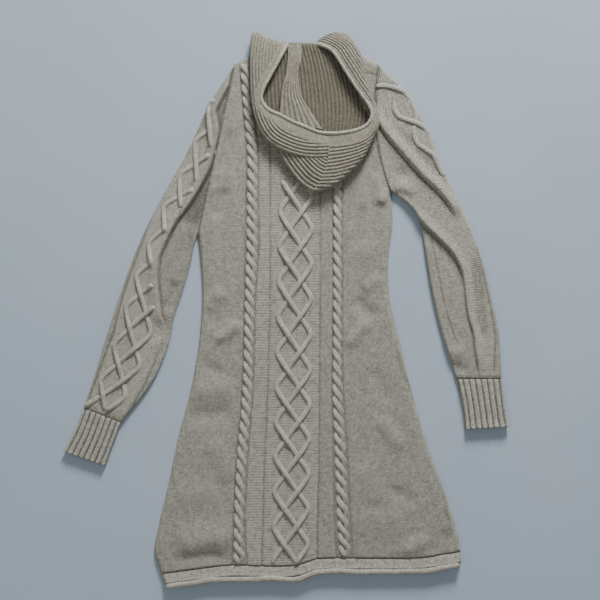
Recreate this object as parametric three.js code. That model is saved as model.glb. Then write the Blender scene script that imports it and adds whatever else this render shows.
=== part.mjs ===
// A hooded cable-knit sweater dress lying flat on its front, with the hood dropped on the back.
// Millimetres, +Z up, +Y from hem to neck. The floor is z = 0 and the origin is under the middle.
// Every piece is a wall of knitted cloth, made from a grid of points on its middle surface.

import * as THREE from 'three';

// Driving dimensions

const WALL = 3.2; // thickness of the knitted cloth
const SEAM_GAP = 0.3; // running gap between pieces that are sewn together
const HALF = WALL / 2;
const FRONT_Z = HALF; // middle surface of the cloth that lies on the floor
const BACK_Z = 7.2; // middle surface of the cloth that lies on the front
const KNEE_Z = WALL + 0.8; // height at which a side edge starts to turn over
const TURN = 7; // how far in a turned edge reaches the height of the back

const HEM_Y = -421.5; // middle of the hem line
const TOP_Y = 438; // neck line
const HEM_SKEW = 19; // how much lower the hem is on the left, and higher on the right
const TURN_FADE = 16; // the turned side edges flatten out over this height below the armpits
const SKEW_REACH = 220; // the skew fades out over this height
const HEM_BAND = 17; // height of the band below the hem line
const ROLL_RADIUS = 3.6; // rolled edges of the hem and hood
const FALL_START = 348; // the shoulder's fall begins at this height
const HEM_ROLL_Z = { front: ROLL_RADIUS, back: 3 * ROLL_RADIUS + SEAM_GAP }; // middles
const SHOULDER_DROP = 17; // how far the shoulder falls from neck to armhole
const NECK_START = 1 / 8; // share of the top edge that is shoulder, each side
const FRONT_TOP_Y = TOP_Y - HALF - SEAM_GAP; // neck corners of the front
const FRONT_NECK_DEPTH = 52; // the front neck line dips this far in a vee
const ARMPIT_JOIN = 30; // the side seam runs into the armhole over this height
const HEM_WAVE_FADE = 60; // the hem wave fades out over this height
const BOW_FADE = 6; // power by which a sleeve's bow fades from its armhole
const LEAST_TURN = HALF + 0.2; // smallest radius of a turn in the hood
const NECK_DIP_START = 250; // rows of the front above this height bend towards the vee

const NECK_Z = BACK_Z + WALL + 0.8; // middle surface of the nape of the hood on the back

// Side edges of the body, by height. Above the armpits the armholes take over.
const SIDES = [
  { y: -475, left: -203, right: 304 },
  { y: -440, left: -213, right: 301 },
  { y: -404, left: -223, right: 297 },
  { y: -360, left: -216, right: 288 },
  { y: -283, left: -198, right: 262 },
  { y: -206, left: -182, right: 235 },
  { y: -130, left: -162, right: 213 },
  { y: -53, left: -148, right: 195 },
  { y: 0, left: -143, right: 182 },
  { y: 48, left: -142, right: 174 },
  { y: 103, left: -146, right: 175 },
  { y: 150, left: -149, right: 181 },
  { y: 210, left: -150, right: 179 },
];

// Armholes: lower end, upper end and how far the seam bows sideways between them.
const ARMHOLES = {
  left: { x: -149, y: 138, topX: -88, topY: TOP_Y - SHOULDER_DROP, bow: 0 },
  right: { x: 177, y: 207, topX: 158, topY: TOP_Y - SHOULDER_DROP, bow: -16 },
};

// How the hem line and all below it rise and fall across the dress.
const HEM_WAVE = [
  { x: -206, rise: 0 },
  { x: -100, rise: 5 },
  { x: -40, rise: 0 },
  { x: 15, rise: -3 },
  { x: 55, rise: 5 },
  { x: 120, rise: 1 },
  { x: 230, rise: -6 },
  { x: 300, rise: 0 },
];

// Soft swells of the back: middle, half lengths along and across, turn in degrees, and height.
const SWELLS = [
  { x: -150, y: -350, along: 70, across: 34, turn: 68, rise: 1.8 },
  { x: 215, y: -330, along: 90, across: 26, turn: 60, rise: 1.3 },
  { x: 130, y: -20, along: 60, across: 22, turn: 52, rise: 1.4 },
  { x: -105, y: 20, along: 70, across: 20, turn: -60, rise: 1.2 },
  { x: -120, y: -180, along: 60, across: 22, turn: 80, rise: -0.9 },
  { x: 120, y: 140, along: 60, across: 26, turn: 100, rise: 1.0 },
];

// Sleeves: a row for each section, from the armhole to the cuff, by its two folded edges.
// The height is that of the middle surface of the upper cloth.
const SLEEVE_LEFT = [
  { innerX: -149, innerY: 138, outerX: -88, outerY: 421, height: BACK_Z },
  { innerX: -153.5, innerY: 124, outerX: -121, outerY: 352, height: BACK_Z },
  { innerX: -157, innerY: 110, outerX: -163, outerY: 268, height: 8.2 },
  { innerX: -161, innerY: 88, outerX: -206, outerY: 198, height: 8.6 },
  { innerX: -174, innerY: 42, outerX: -244, outerY: 124, height: 8.6 },
  { innerX: -189, innerY: -3, outerX: -274, outerY: 50, height: 8.4 },
  { innerX: -200, innerY: -55, outerX: -299, outerY: -22, height: 8.2 },
  { innerX: -228, innerY: -118, outerX: -322, outerY: -98, height: 8.0 },
  { innerX: -279, innerY: -185, outerX: -343, outerY: -160, height: 7.8 },
];
const SLEEVE_RIGHT = [
  { innerX: 177, innerY: 207, outerX: 158, outerY: 421, height: BACK_Z },
  { innerX: 190, innerY: 198, outerX: 197, outerY: 376, height: BACK_Z },
  { innerX: 206, innerY: 186, outerX: 236, outerY: 308, height: 8.2 },
  { innerX: 221, innerY: 167, outerX: 268, outerY: 236, height: 8.6 },
  { innerX: 231, innerY: 136, outerX: 303, outerY: 168, height: 8.6 },
  { innerX: 239, innerY: 86, outerX: 329, outerY: 103, height: 8.6 },
  { innerX: 248, innerY: 34, outerX: 347, outerY: 34, height: 8.6 },
  { innerX: 262, innerY: -25, outerX: 361, outerY: -35, height: 8.4 },
  { innerX: 289, innerY: -111, outerX: 366, outerY: -111, height: 7.8 },
];

// Cuffs: top and bottom sections.
const CUFF_LEFT = [
  { innerX: -279.1, innerY: -185.4, outerX: -343.1, outerY: -160.4, height: 7.8 },
  { innerX: -293, innerY: -222, outerX: -358, outerY: -198, height: 8.6 },
  { innerX: -306, innerY: -258, outerX: -376, outerY: -234, height: 8.6 },
];
const CUFF_RIGHT = [
  { innerX: 289.2, innerY: -111.35, outerX: 366.2, outerY: -111.35, height: 7.8 },
  { innerX: 299, innerY: -154, outerX: 371, outerY: -152, height: 8.6 },
  { innerX: 304, innerY: -196, outerX: 377, outerY: -192, height: 8.6 },
];

// The hood, a row for each section along its ribs, from above the neck seam over the top roll and
// down the back to the crown. Each row gives the face edge, left and right, the outer folds, the
// line of the nape, the crown seam, and the heights of the upper and of the lower cloth.
const HOOD = [
  {
    leftX: 22, leftY: 420, leftFoldX: -53, leftFoldY: 446,
    rightX: 38, rightY: 420, rightFoldX: 119, rightFoldY: 444,
    nape: 446, seam: 30, upper: 1.6, lower: BACK_Z, roll: 2.4,
  },
  {
    leftX: 8, leftY: 455, leftFoldX: -55, leftFoldY: 463,
    rightX: 44, rightY: 455, rightFoldX: 118, rightFoldY: 455,
    nape: 451, seam: 27, upper: 2.4, lower: 7.7, roll: 2.4,
  },
  {
    leftX: 0, leftY: 468, leftFoldX: -52, leftFoldY: 476,
    rightX: 52, rightY: 469, rightFoldX: 117, rightFoldY: 462,
    nape: 454, seam: 28, upper: 12, lower: 9.2, roll: 3.6,
  },
  {
    leftX: -7, leftY: 455, leftFoldX: -57, leftFoldY: 461,
    rightX: 66, rightY: 461, rightFoldX: 122, rightFoldY: 451,
    nape: 451, seam: 30, upper: 21, lower: 10.8, roll: 3.6,
  },
  {
    leftX: -17, leftY: 433, leftFoldX: -59, leftFoldY: 438,
    rightX: 95, rightY: 443, rightFoldX: 131, rightFoldY: 434,
    nape: 436, seam: 40, upper: 24, lower: NECK_Z, roll: 3.6,
  },
  {
    leftX: -30, leftY: 405, leftFoldX: -59, leftFoldY: 406,
    rightX: 118, rightY: 411, rightFoldX: 138, rightFoldY: 407,
    nape: 406, seam: 50, upper: 26, lower: NECK_Z, roll: 3.6,
  },
  {
    leftX: -46, leftY: 374, leftFoldX: -57, leftFoldY: 373,
    rightX: 143, rightY: 375, rightFoldX: 151, rightFoldY: 376,
    nape: 374, seam: 55, upper: 27, lower: NECK_Z, roll: 3.6,
  },
  {
    leftX: -37, leftY: 346, leftFoldX: -50, leftFoldY: 342,
    rightX: 150, rightY: 346, rightFoldX: 156, rightFoldY: 347,
    nape: 344, seam: 60, upper: 28, lower: NECK_Z, roll: 3.6,
  },
  {
    leftX: 8, leftY: 320, leftFoldX: -35, leftFoldY: 313,
    rightX: 130, rightY: 311, rightFoldX: 151, rightFoldY: 312,
    nape: 314, seam: 63, upper: 29, lower: NECK_Z, roll: 3.6,
  },
  {
    leftX: 66, leftY: 301, leftFoldX: -14, leftFoldY: 278,
    rightX: 68, rightY: 301, rightFoldX: 138, rightFoldY: 286,
    nape: 284, seam: 67, upper: 27, lower: NECK_Z, roll: 3.6,
  },
  {
    leftX: 66, leftY: 275, leftFoldX: 5, leftFoldY: 248,
    rightX: 68, rightY: 275, rightFoldX: 118, rightFoldY: 256,
    nape: 256, seam: 67, upper: 24, lower: NECK_Z, roll: 0,
  },
  {
    leftX: 58, leftY: 246, leftFoldX: 20, leftFoldY: 226,
    rightX: 60, rightY: 246, rightFoldX: 94, rightFoldY: 230,
    nape: 232, seam: 59, upper: 20, lower: NECK_Z, roll: 0,
  },
  {
    leftX: 50, leftY: 219, leftFoldX: 33, leftFoldY: 211,
    rightX: 52, rightY: 219, rightFoldX: 70, rightFoldY: 212,
    nape: 214, seam: 51, upper: 16.5, lower: NECK_Z, roll: 0,
  },
];
const CROWN_ROW = 9; // the row of HOOD where the face edge meets the crown seam
const FACE_START = { left: 29, right: 41 }; // where the face edges start at the front neck
const NECK_SIDE = { left: -54, right: 121 }; // where the hood turns from the front neck to the back neck

// Resolution

const BODY_ROWS = 20;
const BODY_COLUMNS = 10;
const TURNED_COLUMNS = 3; // columns of a turned edge of the back, below its full height
const FRONT_COLUMNS = 8;
const SLEEVE_ROWS = 17;
const CUFF_ROWS = 4;
const LAYER_STEPS = 6; // columns across one layer of a sleeve or of the hood
const FOLD_STEPS = 3; // columns around a folded edge
const ROLL_SIDES = 6;
const HOOD_STEPS = 2; // rows of the grid for each row of HOOD
const NAPE_STEPS = 8; // columns across the nape of the hood

// Helpers

const lerp = THREE.MathUtils.lerp;
const ramp = THREE.MathUtils.smoothstep;

/** One column of a table at any value of another, along a smooth curve through its rows. */
function column(table, by, at, name) {
  const last = table.length - 1;
  let i = 0;
  while (i < last - 1 && at > table[i + 1][by]) i += 1;
  const [a, b] = [table[i], table[i + 1]];
  const before = table[Math.max(i - 1, 0)];
  const after = table[Math.min(i + 2, last)];
  const span = b[by] - a[by];
  const t = THREE.MathUtils.clamp((at - a[by]) / span, 0, 1);
  const slopeA = ((b[name] - before[name]) / (b[by] - before[by])) * span;
  const slopeB = ((after[name] - a[name]) / (after[by] - a[by])) * span;
  const t2 = t * t;
  const t3 = t2 * t;
  return (
    (2 * t3 - 3 * t2 + 1) * a[name] +
    (t3 - 2 * t2 + t) * slopeA +
    (3 * t2 - 2 * t3) * b[name] +
    (t3 - t2) * slopeB
  );
}

/** All columns of a table at a share, 0 to 1, of the way down its rows. */
function section(rows, share) {
  const numbered = rows.map((row, index) => ({ index, ...row }));
  const at = share * (rows.length - 1);
  const names = Object.keys(rows[0]);
  return Object.fromEntries(names.map((name) => [name, column(numbered, 'index', at, name)]));
}

/** A closed wall around a grid of points on its middle surface. */
function wall(grid) {
  const last = { row: grid.length - 1, column: grid[0].length - 1 };
  const offset = (distance) => grid.map((row, i) => row.map((point, j) => {
    const down = grid[Math.min(i + 1, last.row)][j].clone().sub(grid[Math.max(i - 1, 0)][j]);
    const along = row[Math.min(j + 1, last.column)].clone().sub(row[Math.max(j - 1, 0)]);
    return point.clone().addScaledVector(along.cross(down).normalize(), distance);
  }));
  return between(offset(HALF), offset(-HALF), false);
}

/** The closed solid between two grids of points, which may close on themselves like a tube. */
function between(outer, inner, closed) {
  const rows = outer.length;
  const columns = outer[0].length;
  const points = [...outer.flat(), ...inner.flat()];
  const id = (layer, i, j) => (layer * rows + i) * columns + (j % columns);
  const faces = [];
  const quad = (a, b, c, d) => faces.push(a, b, c, a, c, d);
  const across = closed ? columns : columns - 1;
  for (let j = 0; j < across; j += 1) {
    for (let i = 0; i < rows - 1; i += 1) {
      quad(id(0, i, j), id(0, i, j + 1), id(0, i + 1, j + 1), id(0, i + 1, j));
      quad(id(1, i, j), id(1, i + 1, j), id(1, i + 1, j + 1), id(1, i, j + 1));
    }
    const end = rows - 1;
    quad(id(0, 0, j), id(1, 0, j), id(1, 0, j + 1), id(0, 0, j + 1));
    quad(id(0, end, j), id(0, end, j + 1), id(1, end, j + 1), id(1, end, j));
  }
  for (let i = 0; !closed && i < rows - 1; i += 1) {
    const edge = columns - 1;
    quad(id(0, i, 0), id(0, i + 1, 0), id(1, i + 1, 0), id(1, i, 0));
    quad(id(0, i, edge), id(1, i, edge), id(1, i + 1, edge), id(0, i + 1, edge));
  }
  return outward(points, faces);
}

/** A closed geometry from points and triangles, turned so that its volume is positive. */
function outward(points, faces) {
  let volume = 0;
  for (let k = 0; k < faces.length; k += 3) {
    const [a, b, c] = [0, 1, 2].map((n) => points[faces[k + n]]);
    volume += a.dot(b.clone().cross(c));
  }
  const geometry = new THREE.BufferGeometry();
  const flat = points.flatMap((point) => point.toArray());
  geometry.setAttribute('position', new THREE.Float32BufferAttribute(flat, 3));
  geometry.setIndex(volume < 0 ? faces.toReversed() : faces);
  geometry.computeVertexNormals();
  return geometry;
}

/** A round bar along points, with its own radius at each, for a rolled edge. */
function bar(path, radii) {
  const rings = path.map((point, i) => {
    const ahead = path[Math.min(i + 1, path.length - 1)];
    const behind = path[Math.max(i - 1, 0)];
    const along = ahead.clone().sub(behind).normalize();
    const up = new THREE.Vector3(0, 0, 1).addScaledVector(along, -along.z);
    if (up.length() < 0.5) up.set(0, -Math.sign(along.z), 0);
    const upright = up.addScaledVector(along, -up.dot(along)).normalize();
    const side = along.clone().cross(upright);
    return Array.from({ length: ROLL_SIDES }, (_, k) => {
      const angle = (2 * Math.PI * k) / ROLL_SIDES;
      const spoke = side.clone().multiplyScalar(Math.cos(angle));
      spoke.addScaledVector(upright, Math.sin(angle));
      return point.clone().addScaledVector(spoke, radii[i]);
    });
  });
  const points = [...rings.flat(), path[0], path.at(-1)];
  const id = (i, k) => i * ROLL_SIDES + (k % ROLL_SIDES);
  const [start, end] = [points.length - 2, points.length - 1];
  const faces = [];
  const last = path.length - 1;
  for (let k = 0; k < ROLL_SIDES; k += 1) {
    for (let i = 0; i < last; i += 1) {
      const [a, b, c, d] = [id(i, k), id(i + 1, k), id(i + 1, k + 1), id(i, k + 1)];
      faces.push(a, b, c, a, c, d);
    }
    faces.push(start, id(0, k), id(0, k + 1), end, id(last, k + 1), id(last, k));
  }
  return outward(points, faces);
}

// Body

/** Sideways place of an armhole seam at a height. */
function armholeX(armhole, y) {
  const share = (y - armhole.y) / (armhole.topY - armhole.y);
  return lerp(armhole.x, armhole.topX, share) + armhole.bow * 4 * share * (1 - share);
}

/** Sideways place of the edge of the body: the side seam, or the armhole above the armpit. */
function edgeX(side, y) {
  const armhole = ARMHOLES[side];
  const seam = (at) => column(SIDES, 'y', at, side);
  if (y >= armhole.y) return armholeX(armhole, y);
  const join = ramp(y, armhole.y - ARMPIT_JOIN, armhole.y);
  return lerp(seam(y), armhole.x, join);
}

/** How much a side edge is turned over at a height: 1 along the side seam, 0 along the armhole. */
function turned(side, y) {
  return 1 - ramp(y, ARMHOLES[side].y - TURN_FADE, ARMHOLES[side].y);
}

/** How far the front stays inside the outline, which is the turned cloth of the back below the armpit. */
function frontInset(side, y) {
  const inside = 1 - ramp(y, ARMHOLES[side].y, ARMHOLES[side].y + TURN_FADE);
  return lerp(SEAM_GAP / 2, WALL + SEAM_GAP, inside);
}

/** How far a row falls with the shoulders at its ends. */
function shoulderFallAt(y) {
  return SHOULDER_DROP * THREE.MathUtils.clamp((y - FALL_START) / (TOP_Y - FALL_START), 0, 1);
}

/** The row whose ends fall to a height. */
function beforeFall(y) {
  const slope = SHOULDER_DROP / (TOP_Y - FALL_START);
  return y < FALL_START ? y : (y - slope * FALL_START) / (1 - slope);
}

/** Heights along the bowed armhole where its sleeve has its points, so that both seams match. */
function seamHeights() {
  const { y, topY } = ARMHOLES.right;
  const fold = (BACK_Z + HALF) / 2;
  return Array.from({ length: LAYER_STEPS }, (_, k) => lerp(y + fold, topY - fold, k / LAYER_STEPS));
}

/** Heights of the rows that the front and the back share, with the armpits among them. */
function bodyRows() {
  const even = Array.from({ length: BODY_ROWS + 1 }, (_, i) =>
    lerp(HEM_Y + 2 * SEAM_GAP, TOP_Y - TURN, i / BODY_ROWS));
  const armpits = Object.values(ARMHOLES).flatMap(({ y }) => [y - TURN_FADE, y]);
  const fixed = [...armpits, ...seamHeights().map(beforeFall), TOP_Y - TURN];
  const clear = (y) => fixed.every((other) => Math.abs(other - y) > TURN_FADE / 2);
  const apart = even.filter((y) => y < ARMHOLES.right.y && clear(y));
  return [...apart, ...fixed].sort((a, b) => a - b);
}

/** The height of the hem wave and of the skew at a point, fading out up the dress. */
function hemShift(x, share, y) {
  const fade = 1 - ramp(y, HEM_Y, HEM_Y + SKEW_REACH);
  const wave = column(HEM_WAVE, 'x', x, 'rise') * (1 - ramp(y, HEM_Y, HEM_Y + HEM_WAVE_FADE));
  return fade * HEM_SKEW * (2 * share - 1) + wave;
}

/** A point of the body at a share across and a height, in plan, set in from both edges. */
function bodyPoint(share, y, inset) {
  const skew = HEM_SKEW * (1 - ramp(y, HEM_Y, HEM_Y + SKEW_REACH));
  const fall = shoulderFallAt(y);
  const left = edgeX('left', y - skew - fall) + inset;
  const right = edgeX('right', y + skew - fall) - inset;
  const x = lerp(left, right, share);
  return new THREE.Vector2(x, y + hemShift(x, share, y) - fall * shoulderShare(share));
}

/** How much of the shoulder's fall applies at a share across: 0 in the neck, 1 at the armholes. */
function shoulderShare(share) {
  return THREE.MathUtils.clamp(1 - Math.min(share, 1 - share) / NECK_START, 0, 1);
}

/** The rise of the soft swells of the back at a point. */
function swell(x, y) {
  return SWELLS.reduce((sum, fold) => {
    const angle = THREE.MathUtils.degToRad(fold.turn);
    const [dx, dy] = [x - fold.x, y - fold.y];
    const along = (dx * Math.cos(angle) + dy * Math.sin(angle)) / fold.along;
    const across = (dy * Math.cos(angle) - dx * Math.sin(angle)) / fold.across;
    return sum + fold.rise * Math.exp(-along * along - across * across);
  }, 0);
}

/** Columns of the back across the dress: the turned edges and the flat between them. */
function backColumns() {
  const edge = [
    { reach: 0, lift: 0 },
    { reach: 0, lift: KNEE_Z / BACK_Z },
    { reach: 0.3, lift: 0.85 },
    { reach: 1, lift: 1 },
  ];
  const flat = Array.from({ length: BODY_COLUMNS - 1 }, (_, k) => ({ share: (k + 1) / BODY_COLUMNS }));
  const left = edge.map((turn) => ({ ...turn, share: 0, side: 'left' }));
  const right = edge.toReversed().map((turn) => ({ ...turn, share: 1, side: 'right' }));
  return [...left, ...flat, ...right];
}

/** A row of the back: the plan of each column at a height, and the cloth's own height there. */
function backRow(y, height) {
  return backColumns().map(({ share, side, reach, lift }) => {
    const turn = side ? turned(side, y) : 0;
    const flatReach = reach === 0 ? lift * 2 : TURN * reach;
    const inset = side ? lerp(SEAM_GAP / 2 + flatReach, HALF + TURN * reach, turn) : TURN;
    const plan = bodyPoint(share, y, inset);
    const z = side ? lerp(height, height * lift, turn) : height + swell(plan.x, plan.y);
    return new THREE.Vector3(plan.x, plan.y, z);
  });
}

/** The back: rows up to the neck, then the shoulders turned over to meet the front. */
function backPanel() {
  const rows = bodyRows().map((y) => backRow(y, BACK_Z));
  const top = rows.at(-1);
  const shares = backColumns().map(({ share }) => share);
  const turns = [
    { reach: 0.6, lift: 0.9 },
    { reach: 1, lift: 0.68 },
  ];
  const over = turns.map(({ reach, lift }, k) => top.map((point, j) => {
    const shoulder = shares[j] % 1 === 0 ? 1 : 0;
    const flatZ = point.z;
    const flatY = point.y + (TURN * (k + 1)) / turns.length;
    const y = lerp(flatY, point.y + TURN * reach, shoulder);
    const side = shares[j] < 0.5 ? 'left' : 'right';
    const along = shoulder * (edgeX(side, y) - edgeX(side, point.y));
    return new THREE.Vector3(point.x + along, y, lerp(flatZ, BACK_Z * lift, shoulder));
  }));
  return wall([...rows, ...over]);
}

/** The front: flat on the floor, inside the turned edges of the back, with a dipped neck line. */
function frontPanel() {
  const rows = [...bodyRows(), FRONT_TOP_Y].map((y) => {
    return Array.from({ length: FRONT_COLUMNS + 1 }, (_, j) => {
      const share = j / FRONT_COLUMNS;
      const plan = bodyPoint(share, y, frontInset(share < 0.5 ? 'left' : 'right', y));
      const neck = Math.max(0, 1 - Math.abs(share - 0.5) / (0.5 - NECK_START));
      const near = THREE.MathUtils.clamp((y - NECK_DIP_START) / (FRONT_TOP_Y - NECK_DIP_START), 0, 1);
      return new THREE.Vector3(plan.x, plan.y - FRONT_NECK_DEPTH * neck * near, FRONT_Z);
    });
  });
  return wall(rows);
}

/** The rows of a band below the hem line; the one on the back rises to its rolled edge. */
function hemBandRows(layer) {
  return [0, 0.5, 1].map((share) => {
    const y = HEM_Y - share * HEM_BAND;
    if (layer === 'back') return backRow(y, lerp(BACK_Z, HEM_ROLL_Z.back, share * share));
    return Array.from({ length: FRONT_COLUMNS + 1 }, (_, j) => {
      const plan = bodyPoint(j / FRONT_COLUMNS, y, WALL + SEAM_GAP);
      return new THREE.Vector3(plan.x, plan.y, FRONT_Z);
    });
  });
}

/** The rolled edge below a hem band, made from the band's own edge, moved down. */
function hemRoll(layer) {
  const edge = hemBandRows(layer).at(-1);
  const flat = layer === 'back' ? edge.slice(TURNED_COLUMNS, -TURNED_COLUMNS) : edge;
  const ends = [edge[0], edge.at(-1)].map((end, side) => {
    const [near, next] = side ? [flat.at(-1), flat.at(-2)] : flat;
    const share = (end.x - near.x) / (next.x - near.x);
    return near.clone().lerp(next, share);
  });
  const path = layer === 'back' ? [ends[0], ...flat, ends[1]] : flat;
  const low = path.map((point) =>
    new THREE.Vector3(point.x, point.y - ROLL_RADIUS - SEAM_GAP * 1.5, HEM_ROLL_Z[layer]));
  return bar(low, low.map(() => ROLL_RADIUS));
}

// Sleeves and cuffs

/**
 * One ring of a flat tube, set in from its outside: the under cloth, the outer fold, the upper
 * cloth and the inner fold.
 */
function tubeRing({ innerX, innerY, outerX, outerY, height }, bow, inset) {
  const inner = new THREE.Vector2(innerX, innerY);
  const outer = new THREE.Vector2(outerX, outerY);
  const width = inner.distanceTo(outer);
  const [bottom, top] = [inset, height + HALF - inset];
  const radius = (top - bottom) / 2;
  const place = (distance, z) => {
    const share = distance / width;
    const plan = inner.clone().lerp(outer, share);
    return new THREE.Vector3(plan.x + bow * 4 * share * (1 - share), plan.y, z);
  };
  const fold = (height + HALF) / 2;
  const [start, end] = [fold, width - fold];
  const layer = (from, to, z) =>
    Array.from({ length: LAYER_STEPS + 1 }, (_, k) => place(lerp(from, to, k / LAYER_STEPS), z));
  const turn = (at, way) =>
    Array.from({ length: FOLD_STEPS - 1 }, (_, k) => {
      const angle = (Math.PI * (k + 1)) / FOLD_STEPS;
      const z = (top + bottom) / 2 - way * radius * Math.cos(angle);
      return place(at + way * (fold - inset) * Math.sin(angle), z);
    });
  return [...layer(start, end, bottom), ...turn(end, 1), ...layer(end, start, top), ...turn(start, -1)];
}

/** A sleeve, from the armhole seam, which it follows at its gap, to the cuff. */
function sleeve(sections, armhole, outwardX) {
  const grid = (inset) => Array.from({ length: SLEEVE_ROWS + 1 }, (_, i) => {
    const share = i / SLEEVE_ROWS;
    const ring = tubeRing(section(sections, share), armhole.bow * (1 - share) ** BOW_FADE, inset);
    const shift = outwardX * (SEAM_GAP / 2) * (1 - share);
    return ring.map((point) => point.setX(point.x + shift));
  });
  return between(grid(0), grid(WALL), true);
}

/** A cuff: a flat tube from its own sections. */
function cuff(sections) {
  const grid = (inset) => Array.from({ length: CUFF_ROWS + 1 }, (_, i) =>
    tubeRing(section(sections, i / CUFF_ROWS), 0, inset));
  return between(grid(0), grid(WALL), true);
}

// Hood

/** One side of a row of the hood, from the face edge round the outer fold to the nape. */
function hoodSide(edge, fold, row) {
  const inward = edge.clone().sub(fold);
  const distance = inward.length();
  inward.normalize();
  const radius = (row.upper - row.lower) / 2;
  const middle = (row.upper + row.lower) / 2;
  const widest = Math.max(Math.abs(radius), LEAST_TURN);
  const reach = THREE.MathUtils.clamp(distance - WALL, LEAST_TURN, widest);
  const place = (at, z) => {
    const plan = fold.clone().addScaledVector(inward, at);
    return new THREE.Vector3(plan.x, plan.y, z);
  };
  const upper = Array.from({ length: LAYER_STEPS }, (_, k) =>
    place(lerp(Math.max(distance, HALF + reach + 1), HALF + reach, k / LAYER_STEPS), row.upper));
  const turn = Array.from({ length: FOLD_STEPS + 1 }, (_, k) => {
    const angle = (Math.PI * k) / FOLD_STEPS;
    return place(HALF + reach * (1 - Math.sin(angle)), middle + radius * Math.cos(angle));
  });
  return [...upper, ...turn];
}

/** A row of the hood, from one face edge to the other. */
function hoodRow(given) {
  const row = { ...given, upper: Math.max(given.upper, FRONT_Z) };
  const leftX = Math.min(row.leftX, row.seam - SEAM_GAP);
  const rightX = Math.max(row.rightX, row.seam + SEAM_GAP);
  const plan = (x, y) => new THREE.Vector2(x, y);
  const left = hoodSide(plan(leftX, row.leftY), plan(row.leftFoldX, row.leftFoldY), row);
  const right = hoodSide(plan(rightX, row.rightY), plan(row.rightFoldX, row.rightFoldY), row);
  const [from, to] = [left.at(-1), right.at(-1)];
  const nape = Array.from({ length: NAPE_STEPS - 1 }, (_, k) => {
    const share = (k + 1) / NAPE_STEPS;
    const level = Math.min(1, 6 * share * (1 - share)); // flat but for its ends
    const y = lerp(lerp(from.y, to.y, share), row.nape, level);
    return new THREE.Vector3(lerp(from.x, to.x, share), y, row.lower);
  });
  return [...left, ...nape, ...right.toReversed()];
}

/** The first row of the hood, sewn to the vee of the front neck and to the back neck. */
function neckSeam() {
  const [neckLeft, neckRight] = [NECK_START, 1 - NECK_START].map((share) => bodyPoint(share, TOP_Y, 0).x);
  const middle = (neckLeft + neckRight) / 2;
  const veeY = (x) => {
    const near = 1 - Math.abs(x - middle) / (middle - neckLeft);
    return FRONT_TOP_Y - FRONT_NECK_DEPTH * near;
  };
  const side = (start, end) => {
    const upper = Array.from({ length: LAYER_STEPS + 1 }, (_, k) => {
      const x = lerp(start, end, k / LAYER_STEPS);
      return new THREE.Vector3(x, veeY(x) + 2 * SEAM_GAP, FRONT_Z);
    });
    const low = upper.at(-1);
    const high = new THREE.Vector3(end, TOP_Y + SEAM_GAP, BACK_Z);
    const bulge = Math.sign(end - middle) * HALF;
    const turn = Array.from({ length: FOLD_STEPS }, (_, k) => {
      const share = (k + 1) / FOLD_STEPS;
      const point = low.clone().lerp(high, share);
      point.setX(point.x + bulge * Math.sin(Math.PI * share));
      return point.setY(lerp(low.y, high.y, Math.sqrt(share)));
    });
    return [...upper, ...turn];
  };
  const left = side(FACE_START.left, NECK_SIDE.left);
  const right = side(FACE_START.right, NECK_SIDE.right);
  const nape = Array.from({ length: NAPE_STEPS - 1 }, (_, k) =>
    left.at(-1).clone().lerp(right.at(-1), (k + 1) / NAPE_STEPS));
  return [...left, ...nape, ...right.toReversed()];
}

/** The grid of the hood's middle surface. */
function hoodGrid() {
  const count = (HOOD.length - 1) * HOOD_STEPS;
  const rows = Array.from({ length: count + 1 }, (_, i) => hoodRow(section(HOOD, i / count)));
  return [neckSeam(), ...rows];
}

/** The rolled edge around the face of the hood, made from the hood's own edge, moved out. */
function hoodEdge() {
  const face = hoodGrid().slice(0, CROWN_ROW * HOOD_STEPS + 2);
  const side = (edge, next) => face.map((row, i) => {
    const share = (i - 1) / (HOOD_STEPS * (HOOD.length - 1));
    const radius = section(HOOD, Math.max(share, 0)).roll;
    const [ahead, behind] = [face[Math.min(i + 1, face.length - 1)], face[Math.max(i - 1, 0)]];
    const along = ahead.at(edge).clone().sub(behind.at(edge));
    const out = row.at(edge).clone().sub(row.at(next));
    out.addScaledVector(along, -out.dot(along) / along.lengthSq()).normalize();
    const point = row.at(edge).clone().addScaledVector(out, radius + SEAM_GAP);
    return { point: point.setZ(Math.max(point.z, radius + 0.1)), radius };
  });
  const beads = [...side(0, 1), ...side(-1, -2).toReversed()];
  return bar(beads.map(({ point }) => point), beads.map(({ radius }) => radius));
}

// The dress

const KNIT = { color: 0x8e8b80, roughness: 0.95, metalness: 0 };
const RIB = { color: 0x79756a, roughness: 0.95, metalness: 0 };

const pieces = {
  front_panel: [frontPanel(), KNIT],
  back_panel: [backPanel(), KNIT],
  sleeve_left: [sleeve(SLEEVE_LEFT, ARMHOLES.left, -1), KNIT],
  sleeve_right: [sleeve(SLEEVE_RIGHT, ARMHOLES.right, 1), KNIT],
  cuff_left: [cuff(CUFF_LEFT), RIB],
  cuff_right: [cuff(CUFF_RIGHT), RIB],
  hem_band_back: [wall(hemBandRows('back')), KNIT],
  hem_band_front: [wall(hemBandRows('front')), KNIT],
  hem_roll_back: [hemRoll('back'), KNIT],
  hem_roll_front: [hemRoll('front'), KNIT],
  hood: [wall(hoodGrid()), RIB],
  hood_edge: [hoodEdge(), RIB],
};

const dress = new THREE.Group();
for (const [name, [geometry, finish]] of Object.entries(pieces)) {
  const mesh = new THREE.Mesh(geometry, new THREE.MeshStandardMaterial(finish));
  mesh.name = name;
  dress.add(mesh);
}
const centre = new THREE.Box3().setFromObject(dress).getCenter(new THREE.Vector3());
for (const mesh of dress.children) mesh.position.set(-centre.x, -centre.y, 0);

export default dress;
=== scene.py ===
"""A hooded cable-knit sweater dress laid flat on its front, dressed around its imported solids.

Lengths in the tables and classes are millimetres on the dress's own drawing, with x across, y from
hem to neck and z up from the floor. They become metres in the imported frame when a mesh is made.
"""

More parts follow.
